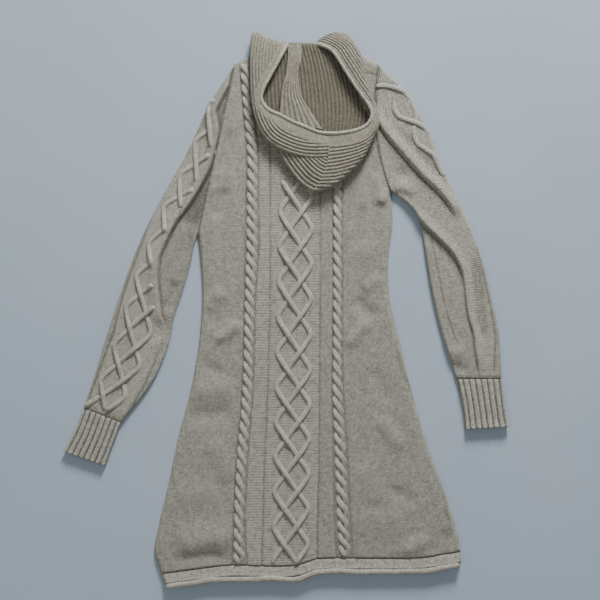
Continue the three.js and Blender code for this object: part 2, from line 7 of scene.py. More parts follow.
import logging
import math
from dataclasses import dataclass
from enum import Enum
from typing import Callable, Sequence

import bpy
import numpy as np
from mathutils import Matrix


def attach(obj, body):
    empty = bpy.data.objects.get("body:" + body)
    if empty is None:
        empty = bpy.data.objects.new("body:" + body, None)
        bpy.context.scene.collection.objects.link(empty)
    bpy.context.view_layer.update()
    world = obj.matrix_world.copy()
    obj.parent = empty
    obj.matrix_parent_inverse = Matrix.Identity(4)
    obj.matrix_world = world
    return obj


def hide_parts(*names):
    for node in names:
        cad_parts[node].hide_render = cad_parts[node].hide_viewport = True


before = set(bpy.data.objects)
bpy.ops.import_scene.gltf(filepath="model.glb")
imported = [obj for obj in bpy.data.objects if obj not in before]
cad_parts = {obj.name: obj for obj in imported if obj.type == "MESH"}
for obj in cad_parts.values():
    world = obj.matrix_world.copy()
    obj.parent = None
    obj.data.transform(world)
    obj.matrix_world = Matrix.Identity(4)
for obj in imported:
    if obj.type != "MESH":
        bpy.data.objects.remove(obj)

log = logging.getLogger("dress")

Array = np.ndarray
Piece = bpy.types.Object
Line = tuple[tuple[float, ...], ...]
Colour = tuple[float, float, float]

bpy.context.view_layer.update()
DRAWING_MIDDLE = np.array([0.48, 5.77, 0.0])  # the middle of the drawing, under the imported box's middle
METRES = 0.001

WALL = 3.2  # thickness of the knitted cloth
HALF = WALL / 2
FRONT_Z = HALF
BACK_Z = 7.2
TURN = 7.0
HEM_Y = -421.5
TOP_Y = 438.0
HEM_SKEW = 19.0
SKEW_REACH = 220.0
TURN_FADE = 16.0
FALL_START = 348.0
SHOULDER_DROP = 17.0
NECK_START = 1 / 8
NECK_DEPTH = 52.0
SEAM_GAP = 0.15  # left free on each side of an armhole seam

SIDE_SEAMS: Line = (
    (-475, -203, 304), (-440, -213, 301), (-404, -223, 297), (-360, -216, 288), (-283, -198, 262),
    (-206, -182, 235), (-130, -162, 213), (-53, -148, 195), (0, -143, 182), (48, -142, 174),
    (103, -146, 175), (150, -149, 181), (210, -150, 179),
)
HEM_WAVE: Line = (
    (-206, 0), (-100, 5), (-40, 0), (15, -3), (55, 5), (120, 1), (230, -6), (300, 0),
)
# Rope and panel gutters of the back: height, left rope's two, panel's two, right rope's two.
GUTTERS: Line = (
    (-430, -92, -65, -41, 52, 87, 115), (-351, -90, -70, -39, 54, 83, 109),
    (-249, -85, -65, -36, 56, 80, 105), (-130, -75, -56, -31, 57, 78, 97),
    (23, -71, -52, -27, 58, 80, 95), (108, -70, -46, -27, 58, 80, 95),
    (193, -68, -47, -27, 58, 80, 95), (278, -68, -47, -27, 58, 80, 95),
    (363, -75, -56, -30, 58, 80, 95), (440, -80, -62, -32, 58, 80, 95),
)


class Side(Enum):
    """The two sides of the dress as it lies, seen from above."""

    LEFT = "left"
    RIGHT = "right"


@dataclass(frozen=True)
class Armhole:
    """An armhole seam: its lower end, its upper end and how far it bows sideways between them."""

    x: float
    y: float
    top_x: float
    top_y: float
    bow: float

    def across(self, y: Array) -> Array:
        """Sideways place of the seam at a height."""
        share = (y - self.y) / (self.top_y - self.y)
        return lerp(self.x, self.top_x, share) + self.bow * 4 * share * (1 - share)


ARMHOLES = {
    Side.LEFT: Armhole(-149, 138, -88, TOP_Y - SHOULDER_DROP, 0),
    Side.RIGHT: Armhole(177, 207, 158, TOP_Y - SHOULDER_DROP, -16),
}


# Curves and distances


def lerp(start: Array | float, end: Array | float, share: Array | float) -> Array:
    """A value a share of the way from start to end."""
    return start + (end - start) * share


def ramp(value: Array | float, low: float, high: float) -> Array:
    """A smooth step from 0 at low to 1 at high."""
    share = np.clip((value - low) / (high - low), 0.0, 1.0)
    return share * share * (3 - 2 * share)


def bump(value: Array, width: float) -> Array:
    """A soft bell of height 1 around zero."""
    return np.exp(-((value / width) ** 2))


def through(knots: Sequence[float], values: Sequence, at: Array | float) -> Array:
    """Values at any place along a smooth curve through given ones.

    Args:
        knots: rising places of the given values.
        values: a number or a row of numbers for each knot.
        at: places wanted.

    Returns:
        One value, or one row, for each place.
    """
    x, v, at = np.asarray(knots, float), np.asarray(values, float), np.asarray(at, float)
    slopes = np.empty_like(v)
    wide = (-1,) + (1,) * (v.ndim - 1)
    slopes[1:-1] = (v[2:] - v[:-2]) / (x[2:] - x[:-2]).reshape(wide)
    slopes[0] = (v[1] - v[0]) / (x[1] - x[0])
    slopes[-1] = (v[-1] - v[-2]) / (x[-1] - x[-2])
    i = np.clip(np.searchsorted(x, at, "right") - 1, 0, len(x) - 2)
    span = x[i + 1] - x[i]
    t = np.clip((at - x[i]) / span, 0, 1)
    if v.ndim > 1:
        t, span = t[..., None], span[..., None]
    t2, t3 = t * t, t * t * t
    return (
        (2 * t3 - 3 * t2 + 1) * v[i] + (t3 - 2 * t2 + t) * slopes[i] * span
        + (3 * t2 - 2 * t3) * v[i + 1] + (t3 - t2) * slopes[i + 1] * span
    )


def table(rows: Line, at: Array | float) -> Array:
    """The columns after the first of a table, at any value of its first column."""
    rows = np.asarray(rows, float)
    return through(rows[:, 0], rows[:, 1:], at)


def run(path: Array) -> Array:
    """Distance along a path at each of its points."""
    return np.r_[0, np.cumsum(np.linalg.norm(np.diff(path, axis=0), axis=1))]


def at_run(path: Array, at: Array) -> Array:
    """Points at given distances along a path."""
    return np.stack([np.interp(at, run(path), column) for column in path.T], axis=1)


def rounded(path: Sequence, count: int) -> Array:
    """A smooth line of many points, evenly spaced, through a few.

    Args:
        path: the few points.
        count: how many the line gets.

    Returns:
        The line's points.
    """
    path = np.asarray(path, float)
    fine = through(run(path), path, np.linspace(0, run(path)[-1], count * 4))
    return at_run(fine, np.linspace(0, run(fine)[-1], count))


def beside(plan: Array, path: Array) -> tuple[Array, Array]:
    """How far points lie to the left of a path, and how far along it they are.

    Args:
        plan: points, x and y in the last axis.
        path: the points of the path.

    Returns:
        The distance, negative on the right, and the share along from 0 to 1.
    """
    best = np.full(plan.shape[:-1], np.inf)
    signed, share = np.zeros_like(best), np.zeros_like(best)
    lengths = np.linalg.norm(np.diff(path, axis=0), axis=1)
    passed = 0.0
    for start, end, length in zip(path[:-1], path[1:], lengths):
        along = (end - start) / length
        out = plan - start
        t = np.clip(out @ along, 0, length)
        gap = np.linalg.norm(out - t[..., None] * along, axis=-1)
        left = np.where(along[0] * out[..., 1] - along[1] * out[..., 0] < 0, -1.0, 1.0)
        nearer = gap < best
        best = np.where(nearer, gap, best)
        signed = np.where(nearer, gap * left, signed)
        share = np.where(nearer, (passed + t) / lengths.sum(), share)
        passed += length
    return signed, share


@dataclass(frozen=True)
class Fold:
    """A ridge or a trough of the cloth along a line.

    Attributes:
        line: its points on the drawing.
        rise: its height, negative for a trough.
        left: how far it reaches on the left of the line.
        right: how far it reaches on the right.
        fade: share of its length over which each end dies away.
    """

    line: Line
    rise: float
    left: float
    right: float
    fade: float = 0.25

    def height(self, plan: Array) -> Array:
        """Its height at points of the drawing.

        Args:
            plan: the points, x and y in the last axis.

        Returns:
            The height at each of them.
        """
        side, share = beside(plan, rounded(self.line, 20))
        reach = np.where(side > 0, self.left, self.right)
        ends = ramp(share, 0, self.fade) * ramp(1 - share, 0, self.fade)
        return self.rise * bump(side, reach) * ends


def relief(folds: Sequence[Fold], plan: Array) -> Array:
    """The height of several folds together at points of the drawing."""
    return sum((fold.height(plan) for fold in folds), np.zeros(plan.shape[:-1]))


# Yarn

YARN_TONE = 0.55  # of plain yarn, where 0 is its deepest fibre and 1 its palest
FIBRE_SHARE, FLECK_SHARE, CLOUD_SHARE = 1.3, 1.5, 0.5
# The second of these darkens the yarn by the groove mark: painted shade in grooves, between ribs and in
# troughs.
STITCH_SHARE, PAINTED_GROOVE_SHADE = 1.8, -0.75
WOBBLE = 0.36  # how far a stitch wanders, in stitches
LEG_SLANT = 1.7
PURL_HEIGHT = 0.76


class Graph:
    """Short calls for laying out the nodes of one material."""

    def __init__(self, material: bpy.types.Material) -> None:
        """Start an empty graph.

        Args:
            material: the material that it is laid out in.
        """
        material.use_nodes = True
        self.tree = material.node_tree
        self.tree.nodes.clear()

    def node(self, kind: str, **settings: object) -> bpy.types.Node:
        """Add a node.

        Args:
            kind: the node's type.
            settings: its own options.

        Returns:
            The node.
        """
        made = self.tree.nodes.new(kind)
        for name, value in settings.items():
            setattr(made, name, value)
        return made

    def feed(self, node: bpy.types.Node, socket: str | int, value: object) -> None:
        """Give a node's input a number, a colour or another node's output.

        Args:
            node: the node.
            socket: name or number of the input.
            value: what it gets.
        """
        if isinstance(value, bpy.types.NodeSocket):
            self.tree.links.new(value, node.inputs[socket])
        else:
            node.inputs[socket].default_value = value

    def sum(self, operation: str, first: object, second: object = None, third: object = None) -> object:
        """One step of arithmetic on numbers or outputs.

        Args:
            operation: what the step does.
            first: its first value.
            second: its second value, where it has one.
            third: its third value, where it has one.

        Returns:
            The output with the result.
        """
        node = self.node("ShaderNodeMath", operation=operation)
        for socket, value in enumerate((first, second, third)):
            if value is not None:
                self.feed(node, socket, value)
        return node.outputs[0]

    def noise(self, where: object, scale: float, detail: float = 2.0) -> object:
        """Soft random values from 0 to 1 over a surface.

        Args:
            where: the output with the places.
            scale: how many changes there are to a metre.
            detail: how many finer layers are laid over them.

        Returns:
            The output with the values.
        """
        node = self.node("ShaderNodeTexNoise")
        for socket, value in (("Vector", where), ("Scale", scale), ("Detail", detail)):
            self.feed(node, socket, value)
        return node.outputs["Fac"]

    def attribute(self, name: str) -> object:
        """The values that a mesh carries under a name."""
        return self.node("ShaderNodeAttribute", attribute_name=name).outputs["Fac"]

    def blend(self, share: object, low: Colour, high: Colour) -> object:
        """A mixture of two colours.

        Args:
            share: 0 for the first colour to 1 for the second.
            low: the first colour.
            high: the second colour.

        Returns:
            The output with the mixture.
        """
        node = self.node("ShaderNodeMix", data_type="RGBA", clamp_factor=True)
        for socket, value in ((0, share), (6, (*low, 1.0)), (7, (*high, 1.0))):
            self.feed(node, socket, value)
        return node.outputs[2]

    def surface(self, values: dict[str, object]) -> None:
        """Finish the material with one surface.

        Args:
            values: what each of the surface's inputs gets.
        """
        shader, finish = self.node("ShaderNodeBsdfPrincipled"), self.node("ShaderNodeOutputMaterial")
        for socket, value in values.items():
            self.feed(shader, socket, value)
        self.feed(finish, "Surface", shader.outputs[0])


@dataclass(frozen=True)
class Yarn:
    """Heathered wool as it is knitted in one part of the dress; the hood's copies are darkened as painted
    shade.

    Attributes:
        name: the material's name.
        pale: the lighter fibres.
        deep: the darker fibres.
        wale: width of a stitch.
        course: height of a row.
        relief: how far a stitch stands out.
        fleck: how strongly single fibres differ.
    """

    name: str
    pale: Colour
    deep: Colour
    wale: float = 3.6
    course: float = 2.7
    relief: float = 1.0
    fleck: float = 1.0

    def material(self) -> bpy.types.Material:
        """The yarn's material, made once and then shared.

        Returns:
            The material.
        """
        made = bpy.data.materials.get(self.name)
        if made is None:
            made = bpy.data.materials.new(self.name)
            self._lay_out(Graph(made))
        return made

    def _stitches(self, graph: Graph, place: object) -> object:
        """Heights of plain stitches, or of reversed ones where the cloth is marked so.

        Args:
            graph: the material's graph.
            place: the output with the places that the wobble follows.

        Returns:
            The output with the heights, from 0 to 1.
        """
        split = graph.node("ShaderNodeSeparateXYZ")
        graph.feed(split, 0, graph.node("ShaderNodeTexCoord").outputs["UV"])
        wobble = graph.sum("MULTIPLY_ADD", graph.noise(place, 60.0), WOBBLE, -WOBBLE / 2)
        across = graph.sum("MULTIPLY_ADD", split.outputs[0], 1 / (self.wale * METRES), wobble)
        along = graph.sum("MULTIPLY_ADD", split.outputs[1], 1 / (self.course * METRES), wobble)
        in_wale = graph.sum("ABSOLUTE", graph.sum("SUBTRACT", graph.sum("FRACT", across), 0.5))
        leg = graph.sum("SINE", graph.sum("MULTIPLY", in_wale, 2 * math.pi))
        slant = graph.sum("MULTIPLY_ADD", in_wale, LEG_SLANT, along)
        rows = graph.sum("SINE", graph.sum("MULTIPLY", slant, 2 * math.pi))
        plain = graph.sum("MULTIPLY", leg, graph.sum("MULTIPLY_ADD", rows, 0.25, 0.75))
        arch = graph.sum("MULTIPLY", graph.sum("SINE", graph.sum("MULTIPLY", across, 2 * math.pi)), 0.16)
        turned = graph.sum("SINE", graph.sum("MULTIPLY", graph.sum("ADD", along, arch), math.pi))
        purl = graph.sum("ABSOLUTE", turned)
        mark = graph.attribute("purl")
        kept = graph.sum("MULTIPLY", plain, graph.sum("SUBTRACT", 1.0, mark))
        return graph.sum("MULTIPLY_ADD", graph.sum("MULTIPLY", purl, PURL_HEIGHT), mark, kept)

    def _lay_out(self, graph: Graph) -> None:
        """Join colour, stitches, painted shade in grooves and nap into a surface.

        Args:
            graph: the material's graph.
        """
        place = graph.node("ShaderNodeTexCoord").outputs["Object"]
        stitches, fibres = self._stitches(graph, place), graph.noise(place, 520.0, 3.0)
        tone = YARN_TONE
        for seen, share in (
            (fibres, FIBRE_SHARE * self.fleck), (graph.noise(place, 270.0), FLECK_SHARE * self.fleck),
            (graph.noise(place, 95.0, 3.0), CLOUD_SHARE * self.fleck), (stitches, STITCH_SHARE * self.relief),
        ):
            tone = graph.sum("MULTIPLY_ADD", graph.sum("SUBTRACT", seen, 0.5), share, tone)
        # Painted shade: the groove mark darkens the yarn in grooves, between ribs and in troughs.
        tone = graph.sum("MULTIPLY_ADD", graph.attribute("groove"), PAINTED_GROOVE_SHADE, tone)
        raised = graph.node("ShaderNodeBump")
        graph.feed(raised, "Strength", 0.75)
        graph.feed(raised, "Distance", self.relief * METRES)
        graph.feed(raised, "Height", graph.sum("MULTIPLY_ADD", fibres, 0.5, stitches))
        graph.surface({
            "Base Color": graph.blend(tone, self.deep, self.pale), "Normal": raised.outputs[0],
            "Roughness": 0.94, "Specular IOR Level": 0.2, "Sheen Weight": 0.18, "Sheen Roughness": 0.6,
        })


BODY_YARN = Yarn("oatmeal_knit", pale=(0.60, 0.555, 0.445), deep=(0.13, 0.115, 0.082))
CABLE_YARN = Yarn("oatmeal_cable", pale=(0.70, 0.65, 0.53), deep=(0.22, 0.195, 0.145), wale=4.2, relief=0.8)
CUFF_YARN = Yarn("oatmeal_cuff", pale=(0.66, 0.61, 0.50), deep=(0.10, 0.09, 0.065), relief=0.35, fleck=0.6)
# The hood's yarn and the nape's are darker copies of the body's oatmeal yarn: painted shade of the hood lying
# out of the light, deepest inside it at the nape.
SHADED_HOOD_YARN = Yarn("oatmeal_hood_shaded", pale=(0.50, 0.445, 0.335), deep=(0.085, 0.072, 0.048), relief=0.4, fleck=0.6)
SHADED_NAPE_YARN = Yarn("oatmeal_nape_shaded", pale=(0.29, 0.25, 0.175), deep=(0.06, 0.05, 0.032), relief=0.4, fleck=0.6)
TRIM_YARN = Yarn("oatmeal_trim", pale=(0.66, 0.61, 0.49), deep=(0.20, 0.175, 0.125), wale=2.6, relief=0.5)
HEM_YARN = Yarn("oatmeal_hem", pale=(0.60, 0.56, 0.46), deep=(0.15, 0.132, 0.095), relief=0.7)


# Cloth meshes


class Knitter:
    """Turns grids of points on the drawing into closed pieces of cloth."""

    @staticmethod
    def mesh(
        name: str, points: Array, faces: Array, uv: Array, yarn: Yarn
    ) -> Piece:
        """A piece from drawing points and four-cornered faces.

        Args:
            name: the piece's name.
            points: every corner, in millimetres on the drawing.
            faces: four corners to a row.
            uv: the cloth's own place of each face's corners, in metres.
            yarn: what it is knitted from.

        Returns:
            The piece, with its faces pointing outwards.
        """
        placed = (points - DRAWING_MIDDLE) * METRES
        a, b, c, d = (placed[faces[:, k]] for k in range(4))
        volume = (np.cross(b - a, c - a) * a + np.cross(c - a, d - a) * a).sum()
        if volume < 0:
            faces, uv = faces[:, ::-1], uv[:, ::-1]
        mesh = bpy.data.meshes.new(name)
        mesh.vertices.add(len(placed))
        mesh.vertices.foreach_set("co", placed.astype(np.float32).ravel())
        mesh.loops.add(faces.size)
        mesh.loops.foreach_set("vertex_index", faces.astype(np.int32).ravel())
        mesh.polygons.add(len(faces))
        mesh.polygons.foreach_set("loop_start", np.arange(0, faces.size, 4, dtype=np.int32))
        mesh.update(calc_edges=True)
        mesh.uv_layers.new(name="cloth").data.foreach_set("uv", uv.astype(np.float32).ravel())
        mesh.shade_smooth()
        mesh.materials.append(yarn.material())
        piece = bpy.data.objects.new(name, mesh)
        bpy.context.scene.collection.objects.link(piece)
        return piece

    @staticmethod
    def shell(name: str, outer: Array, inner: Array, uv: Array, yarn: Yarn) -> Piece:
        """A closed wall between two grids of points.

        Args:
            name: the piece's name.
            outer: rows and columns of points on the outside.
            inner: the same on the inside.
            uv: the cloth's own place of each point. With one column more than the points have, the
                last column joins the first, as round a tube.
            yarn: what it is knitted from.

        Returns:
            The piece.
        """
        spots = np.arange(uv[..., 0].size).reshape(uv.shape[:2])
        corners = np.arange(outer[..., 0].size).reshape(outer.shape[:2])
        if uv.shape[1] > outer.shape[1]:
            corners = np.concatenate([corners, corners[:, :1]], axis=1)
            rims = [spots[0], spots[-1, ::-1]]
        else:
            rims = [np.r_[spots[0], spots[1:, -1], spots[-1, -2::-1], spots[-2::-1, 0]]]
        quads = np.stack([spots[:-1, :-1], spots[:-1, 1:], spots[1:, 1:], spots[1:, :-1]], axis=-1)
        quads = quads.reshape(-1, 4)
        corners, under = corners.ravel(), outer[..., 0].size
        turned = quads[:, [0, 3, 2, 1]]
        faces, places = [corners[quads], corners[turned] + under], [quads, turned]
        for rim in rims:
            a, b = rim[:-1], rim[1:]
            faces.append(np.stack([corners[a], corners[a] + under, corners[b] + under, corners[b]], axis=1))
            places.append(np.stack([a, a, b, b], axis=1))
        points = np.concatenate([outer.reshape(-1, 3), inner.reshape(-1, 3)])
        cloth = uv.reshape(-1, 2)[np.concatenate(places)]
        return Knitter.mesh(name, points, np.concatenate(faces), cloth, yarn)

    @staticmethod
    def normals(grid: Array, closed: bool = False) -> Array:
        """Unit normals of a grid of points, upwards where it lies face up.

        Args:
            grid: the points.
            closed: whether the last column joins the first.

        Returns:
            A normal for each point.
        """
        if closed:
            across = np.roll(grid, -1, axis=1) - np.roll(grid, 1, axis=1)
        else:
            across = np.gradient(grid, axis=1)
        out = np.cross(across, np.gradient(grid, axis=0))
        return out / np.maximum(np.linalg.norm(out, axis=-1, keepdims=True), 1e-9)

    @staticmethod
    def ruled(grid: Array, middle: int = 0) -> Array:
        """The cloth's own places: distance across from a middle column, and distance along it.

        Args:
            grid: points of the cloth on the drawing.
            middle: number of the middle column.

        Returns:
            The two distances of each point, in metres.
        """
        steps = np.linalg.norm(np.diff(grid, axis=1), axis=-1)
        across = np.concatenate([np.zeros((len(grid), 1)), np.cumsum(steps, axis=1)], axis=1)
        across = across - across[:, middle:middle + 1]
        along = np.broadcast_to(run(grid[:, middle])[:, None], across.shape)
        return np.stack([across, along], axis=-1) * METRES

    @staticmethod
    def mark(piece: Piece, values: Array, name: str = "purl") -> None:
        """Mark a piece on both of its sides, from 0 to 1, as reversed stitches or as painted shade in a groove.

        Args:
            piece: the piece.
            values: a value for each point of one side.
            name: purl, or groove for painted shade.
        """
        attribute = piece.data.attributes.new(name, "FLOAT", "POINT")
        attribute.data.foreach_set("value", np.tile(values.ravel(), 2).astype(np.float32))

    @staticmethod
    def cable(
        name: str, strands: Sequence[Array], width: float, height: float, yarn: Yarn, sides: int = 10
    ) -> Piece:
        """Raised strands of one cable, each a flattened bar along its points.

        Args:
            name: the piece's name.
            strands: the middle line of each strand.
            width: breadth of a strand.
            height: its thickness.
            yarn: what it is knitted from.
            sides: faces round a strand.

        Returns:
            The piece, all strands in one.
        """
        points, faces, places, count = [], [], [], 0
        turn = 2 * math.pi * np.arange(sides) / sides
        for path in strands:
            along = np.gradient(path, axis=0)
            along /= np.linalg.norm(along, axis=1, keepdims=True)
            side = np.cross(along, np.array([0.0, 0.0, 1.0]))
            side /= np.maximum(np.linalg.norm(side, axis=1, keepdims=True), 1e-9)
            up = np.cross(side, along)
            n = len(path)
            ends = np.minimum(np.arange(n), np.arange(n)[::-1])
            swell = np.sqrt(np.clip((ends + 0.15) / 3.0, 0, 1))[:, None, None]
            ring = (
                side[:, None] * (np.cos(turn)[:, None] * width / 2)
                + up[:, None] * (np.sin(turn)[:, None] * height / 2)
            )
            body = (path[:, None] + ring * swell).reshape(-1, 3)
            i, k = (part.ravel() for part in np.meshgrid(np.arange(n - 1), np.arange(sides), indexing="ij"))
            length = run(path)
            quad = [(i, k), (i + 1, k), (i + 1, k + 1), (i, k + 1)]
            faces.append(np.stack([count + r * sides + c % sides for r, c in quad], axis=1))
            girth = math.pi * (width + height) / 2
            places.append(
                np.stack([np.stack([c / sides * girth, length[r]], axis=-1) for r, c in quad], axis=1)
            )
            for row in (0, n - 1):
                pairs = np.arange(sides // 2 - 1)
                cap = np.stack([pairs, pairs + 1, sides - 2 - pairs, sides - 1 - pairs], axis=1)
                faces.append(count + row * sides + (cap if row == 0 else cap[:, ::-1]))
                places.append(np.zeros((len(pairs), 4, 2)))
            points.append(body)
            count += len(body)
        uv = np.concatenate(places) * METRES
        return Knitter.mesh(name, np.concatenate(points), np.concatenate(faces), uv, yarn)

    @staticmethod
    def area(grid: Array, closed: bool = False) -> float:
        """Area of a grid of points.

        Args:
            grid: the points on the drawing.
            closed: whether the last column joins the first.

        Returns:
            Square metres.
        """
        if closed:
            grid = np.concatenate([grid, grid[:, :1]], axis=1)
        one, two = grid[1:, 1:] - grid[:-1, :-1], grid[1:, :-1] - grid[:-1, 1:]
        return float(np.linalg.norm(np.cross(one, two), axis=-1).sum() / 2) * METRES**2


def keep_above(grid: Array, lowest: float | Array = 0.0) -> None:
    """Lift the points of a grid that lie lower than they may."""
    grid[..., 2] = np.maximum(grid[..., 2], lowest)


def rib_wave(turns: Array) -> Array:
    """Roundness of ribs, 1 on a crest and 0 in a groove, given how many ribs lie before a place."""
    return np.abs(np.sin(math.pi * turns))


def rib_groove_shade(wave: Array, depth: float) -> Array:
    """Painted shade in the grooves between ribs: how dark it is, up to a depth."""
    return depth * np.clip(1.1 - 1.7 * wave, 0, 1)


def dress(piece: Piece, node: str | None = None) -> Piece:
    """Fasten a piece to the dress.

    Args:
        piece: the piece.
        node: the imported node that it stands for, if any.

    Returns:
        The piece.
    """
    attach(piece, "root")
    if node:
        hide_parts(node)
    log.info("%s: %d faces", piece.name, len(piece.data.polygons))
    return piece


def declare(
    grid: Array,
    with_pieces: Sequence[Piece] = (), closed: bool = False,
) -> None:
    """Work out the flat cut of a piece's grid of cloth, its width, length and area, and keep none of it.

    Args:
        grid: its middle surface on the drawing.
        with_pieces: separate pieces on it; not used.
        closed: whether the grid goes round a tube.
    """
    round_grid = np.concatenate([grid, grid[:, :1]], axis=1) if closed else grid
    width = np.linalg.norm(np.diff(round_grid, axis=1), axis=-1).sum(axis=1).max() * METRES
    length = np.linalg.norm(np.diff(round_grid, axis=0), axis=-1).sum(axis=0).max() * METRES
    area = Knitter.area(grid, closed)
    flat = (round(float(width), 3), round(float(length), 3))
    area = round(min(max(area, 0.31 * flat[0] * flat[1]), flat[0] * flat[1]), 4)


# Body


@dataclass(frozen=True)
class Outline:
    """The plan of the body, shared by its front, its back and its hem."""

    def edge(self, side: Side, y: Array) -> Array:
        """Sideways place of the side seam, or of the armhole above the armpit.

        Args:
            side: which side of the body.
            y: heights wanted.

        Returns:
            The place at each height.
        """
        hole = ARMHOLES[side]
        seam = table(SIDE_SEAMS, y)[..., 0 if side is Side.LEFT else 1]
        joined = lerp(seam, hole.x, ramp(y, hole.y - 30, hole.y))
        return np.where(y >= hole.y, hole.across(y), joined)

    def turned(self, side: Side, y: Array) -> Array:
        """How far a side edge is turned over: 1 at the side seam, 0 at the armhole."""
        hole = ARMHOLES[side]
        return 1 - ramp(y, hole.y - TURN_FADE, hole.y)

    def fall(self, y: Array) -> Array:
        """How far a row falls at its shoulders."""
        return SHOULDER_DROP * np.clip((y - FALL_START) / (TOP_Y - FALL_START), 0, 1)

    def shift(self, x: Array, share: Array, y: Array) -> Array:
        """Rise and fall of the rows near the hem.

        Args:
            x: places across.
            share: the same as shares of the row, from 0 at its left end.
            y: heights of the rows.

        Returns:
            How far each point is moved towards the neck.
        """
        skew = (1 - ramp(y, HEM_Y, HEM_Y + SKEW_REACH)) * HEM_SKEW * (2 * share - 1)
        wave = table(HEM_WAVE, x)[..., 0] * (1 - ramp(y, HEM_Y, HEM_Y + 60))
        return skew + wave

    def ends(self, y: Array) -> tuple[Array, Array]:
        """The left and the right end of rows, to the outside of the dress.

        Args:
            y: heights of the rows.

        Returns:
            The place of each left end, and of each right end.
        """
        skew = HEM_SKEW * (1 - ramp(y, HEM_Y, HEM_Y + SKEW_REACH))
        fall = self.fall(y)
        return self.edge(Side.LEFT, y - skew - fall), self.edge(Side.RIGHT, y + skew - fall)

    def place(self, x: Array, y: Array, left: Array, right: Array) -> Array:
        """Plan of points of a row.

        Args:
            x: places across the row.
            y: its height.
            left: its left end.
            right: its right end.

        Returns:
            The points, x and y in the last axis.
        """
        share = (x - left) / (right - left)
        shoulder = np.clip(1 - np.minimum(share, 1 - share) / NECK_START, 0, 1)
        down = y + self.shift(x, share, y) - self.fall(y) * shoulder
        return np.stack([x, down], axis=-1)


OUTLINE = Outline()

FOLD_GAIN = 1.7  # how much higher the body's folds stand than its table says
# Painted shade: the body's grooves are darkened in colour by their depth.
GROOVE_SHADE = 0.4  # how dark the body's grooves are, to a millimetre of their depth
BODY_FOLDS = (
    Fold(((-136, 0), (-124, 22), (-104, 42)), 2.4, 11, 10),
    Fold(((-122, -50), (-100, -34), (-74, -14)), 2.6, 11, 9),
    Fold(((-150, 60), (-128, 20), (-118, -30)), -1.6, 12, 12),
    Fold(((103, -60), (118, -38), (140, -10)), 2.3, 10, 9),
    Fold(((128, 40), (146, 50), (160, 66)), 1.8, 14, 10),
    Fold(((-182, -166), (-140, -172), (-84, -166)), -2.0, 14, 17),
    Fold(((-178, -128), (-120, -132), (-84, -122)), 1.6, 16, 14),
    Fold(((-190, -402), (-150, -387), (-115, -383), (-84, -394)), 3.6, 28, 17),
    Fold(((-205, -420), (-150, -412), (-115, -413), (-84, -426)), -1.4, 8, 10, 0.3),
    Fold(((180, -293), (196, -308), (214, -328)), -2.4, 9, 8),
    Fold(((240, -376), (220, -394), (192, -408)), 2.6, 9, 11),
    Fold(((272, -360), (262, -392), (250, -410)), -1.6, 10, 8),
    Fold(((158, -172), (176, -202), (196, -234)), 1.9, 8, 10),
    Fold(((138, -90), (160, -120), (170, -160)), -1.3, 10, 12),
    Fold(((-119, 222), (-132, 204), (-147, 184)), 3.4, 6, 9),
    Fold(((-100, 215), (-112, 180), (-126, 160)), -2.2, 9, 12),
    Fold(((-95, 320), (-104, 270), (-110, 232)), -1.8, 14, 10),
    Fold(((163, 184), (169, 198), (181, 208)), 3.0, 9, 3),
    Fold(((150, 240), (156, 208), (160, 176)), 1.6, 10, 8),
    Fold(((125, 330), (132, 290), (138, 250)), -1.5, 8, 14),
    Fold(((-60, 200), (10, 178), (70, 196)), -1.0, 26, 22),
    Fold(((-135, -210), (-112, -240), (-96, -290)), 1.6, 14, 18),
    Fold(((-150, -60), (-132, -90), (-96, -104)), -1.5, 10, 12),
    Fold(((128, -250), (142, -290), (150, -330)), 1.5, 16, 14),
    Fold(((118, 30), (134, 8), (160, -8)), -1.6, 9, 12),
    Fold(((116, 250), (124, 210), (130, 170)), 1.4, 10, 12),
    Fold(((-190, -290), (-160, -310), (-110, -300)), 1.4, 22, 26),
    Fold(((120, -330), (150, -350), (210, -352)), 1.2, 20, 26),
    Fold(((120, 120), (142, 100), (160, 96)), 1.2, 20, 22),
)
SEAM_LINES = (
    Fold(((190, -62), (197, -91), (228, -176), (250, -237), (275, -351), (269, -411)), -1.5, 1.6, 2.2, 0.02),
    Fold(((130, 408), (155, 404)), -1.6, 1.6, 1.6, 0.1),
)


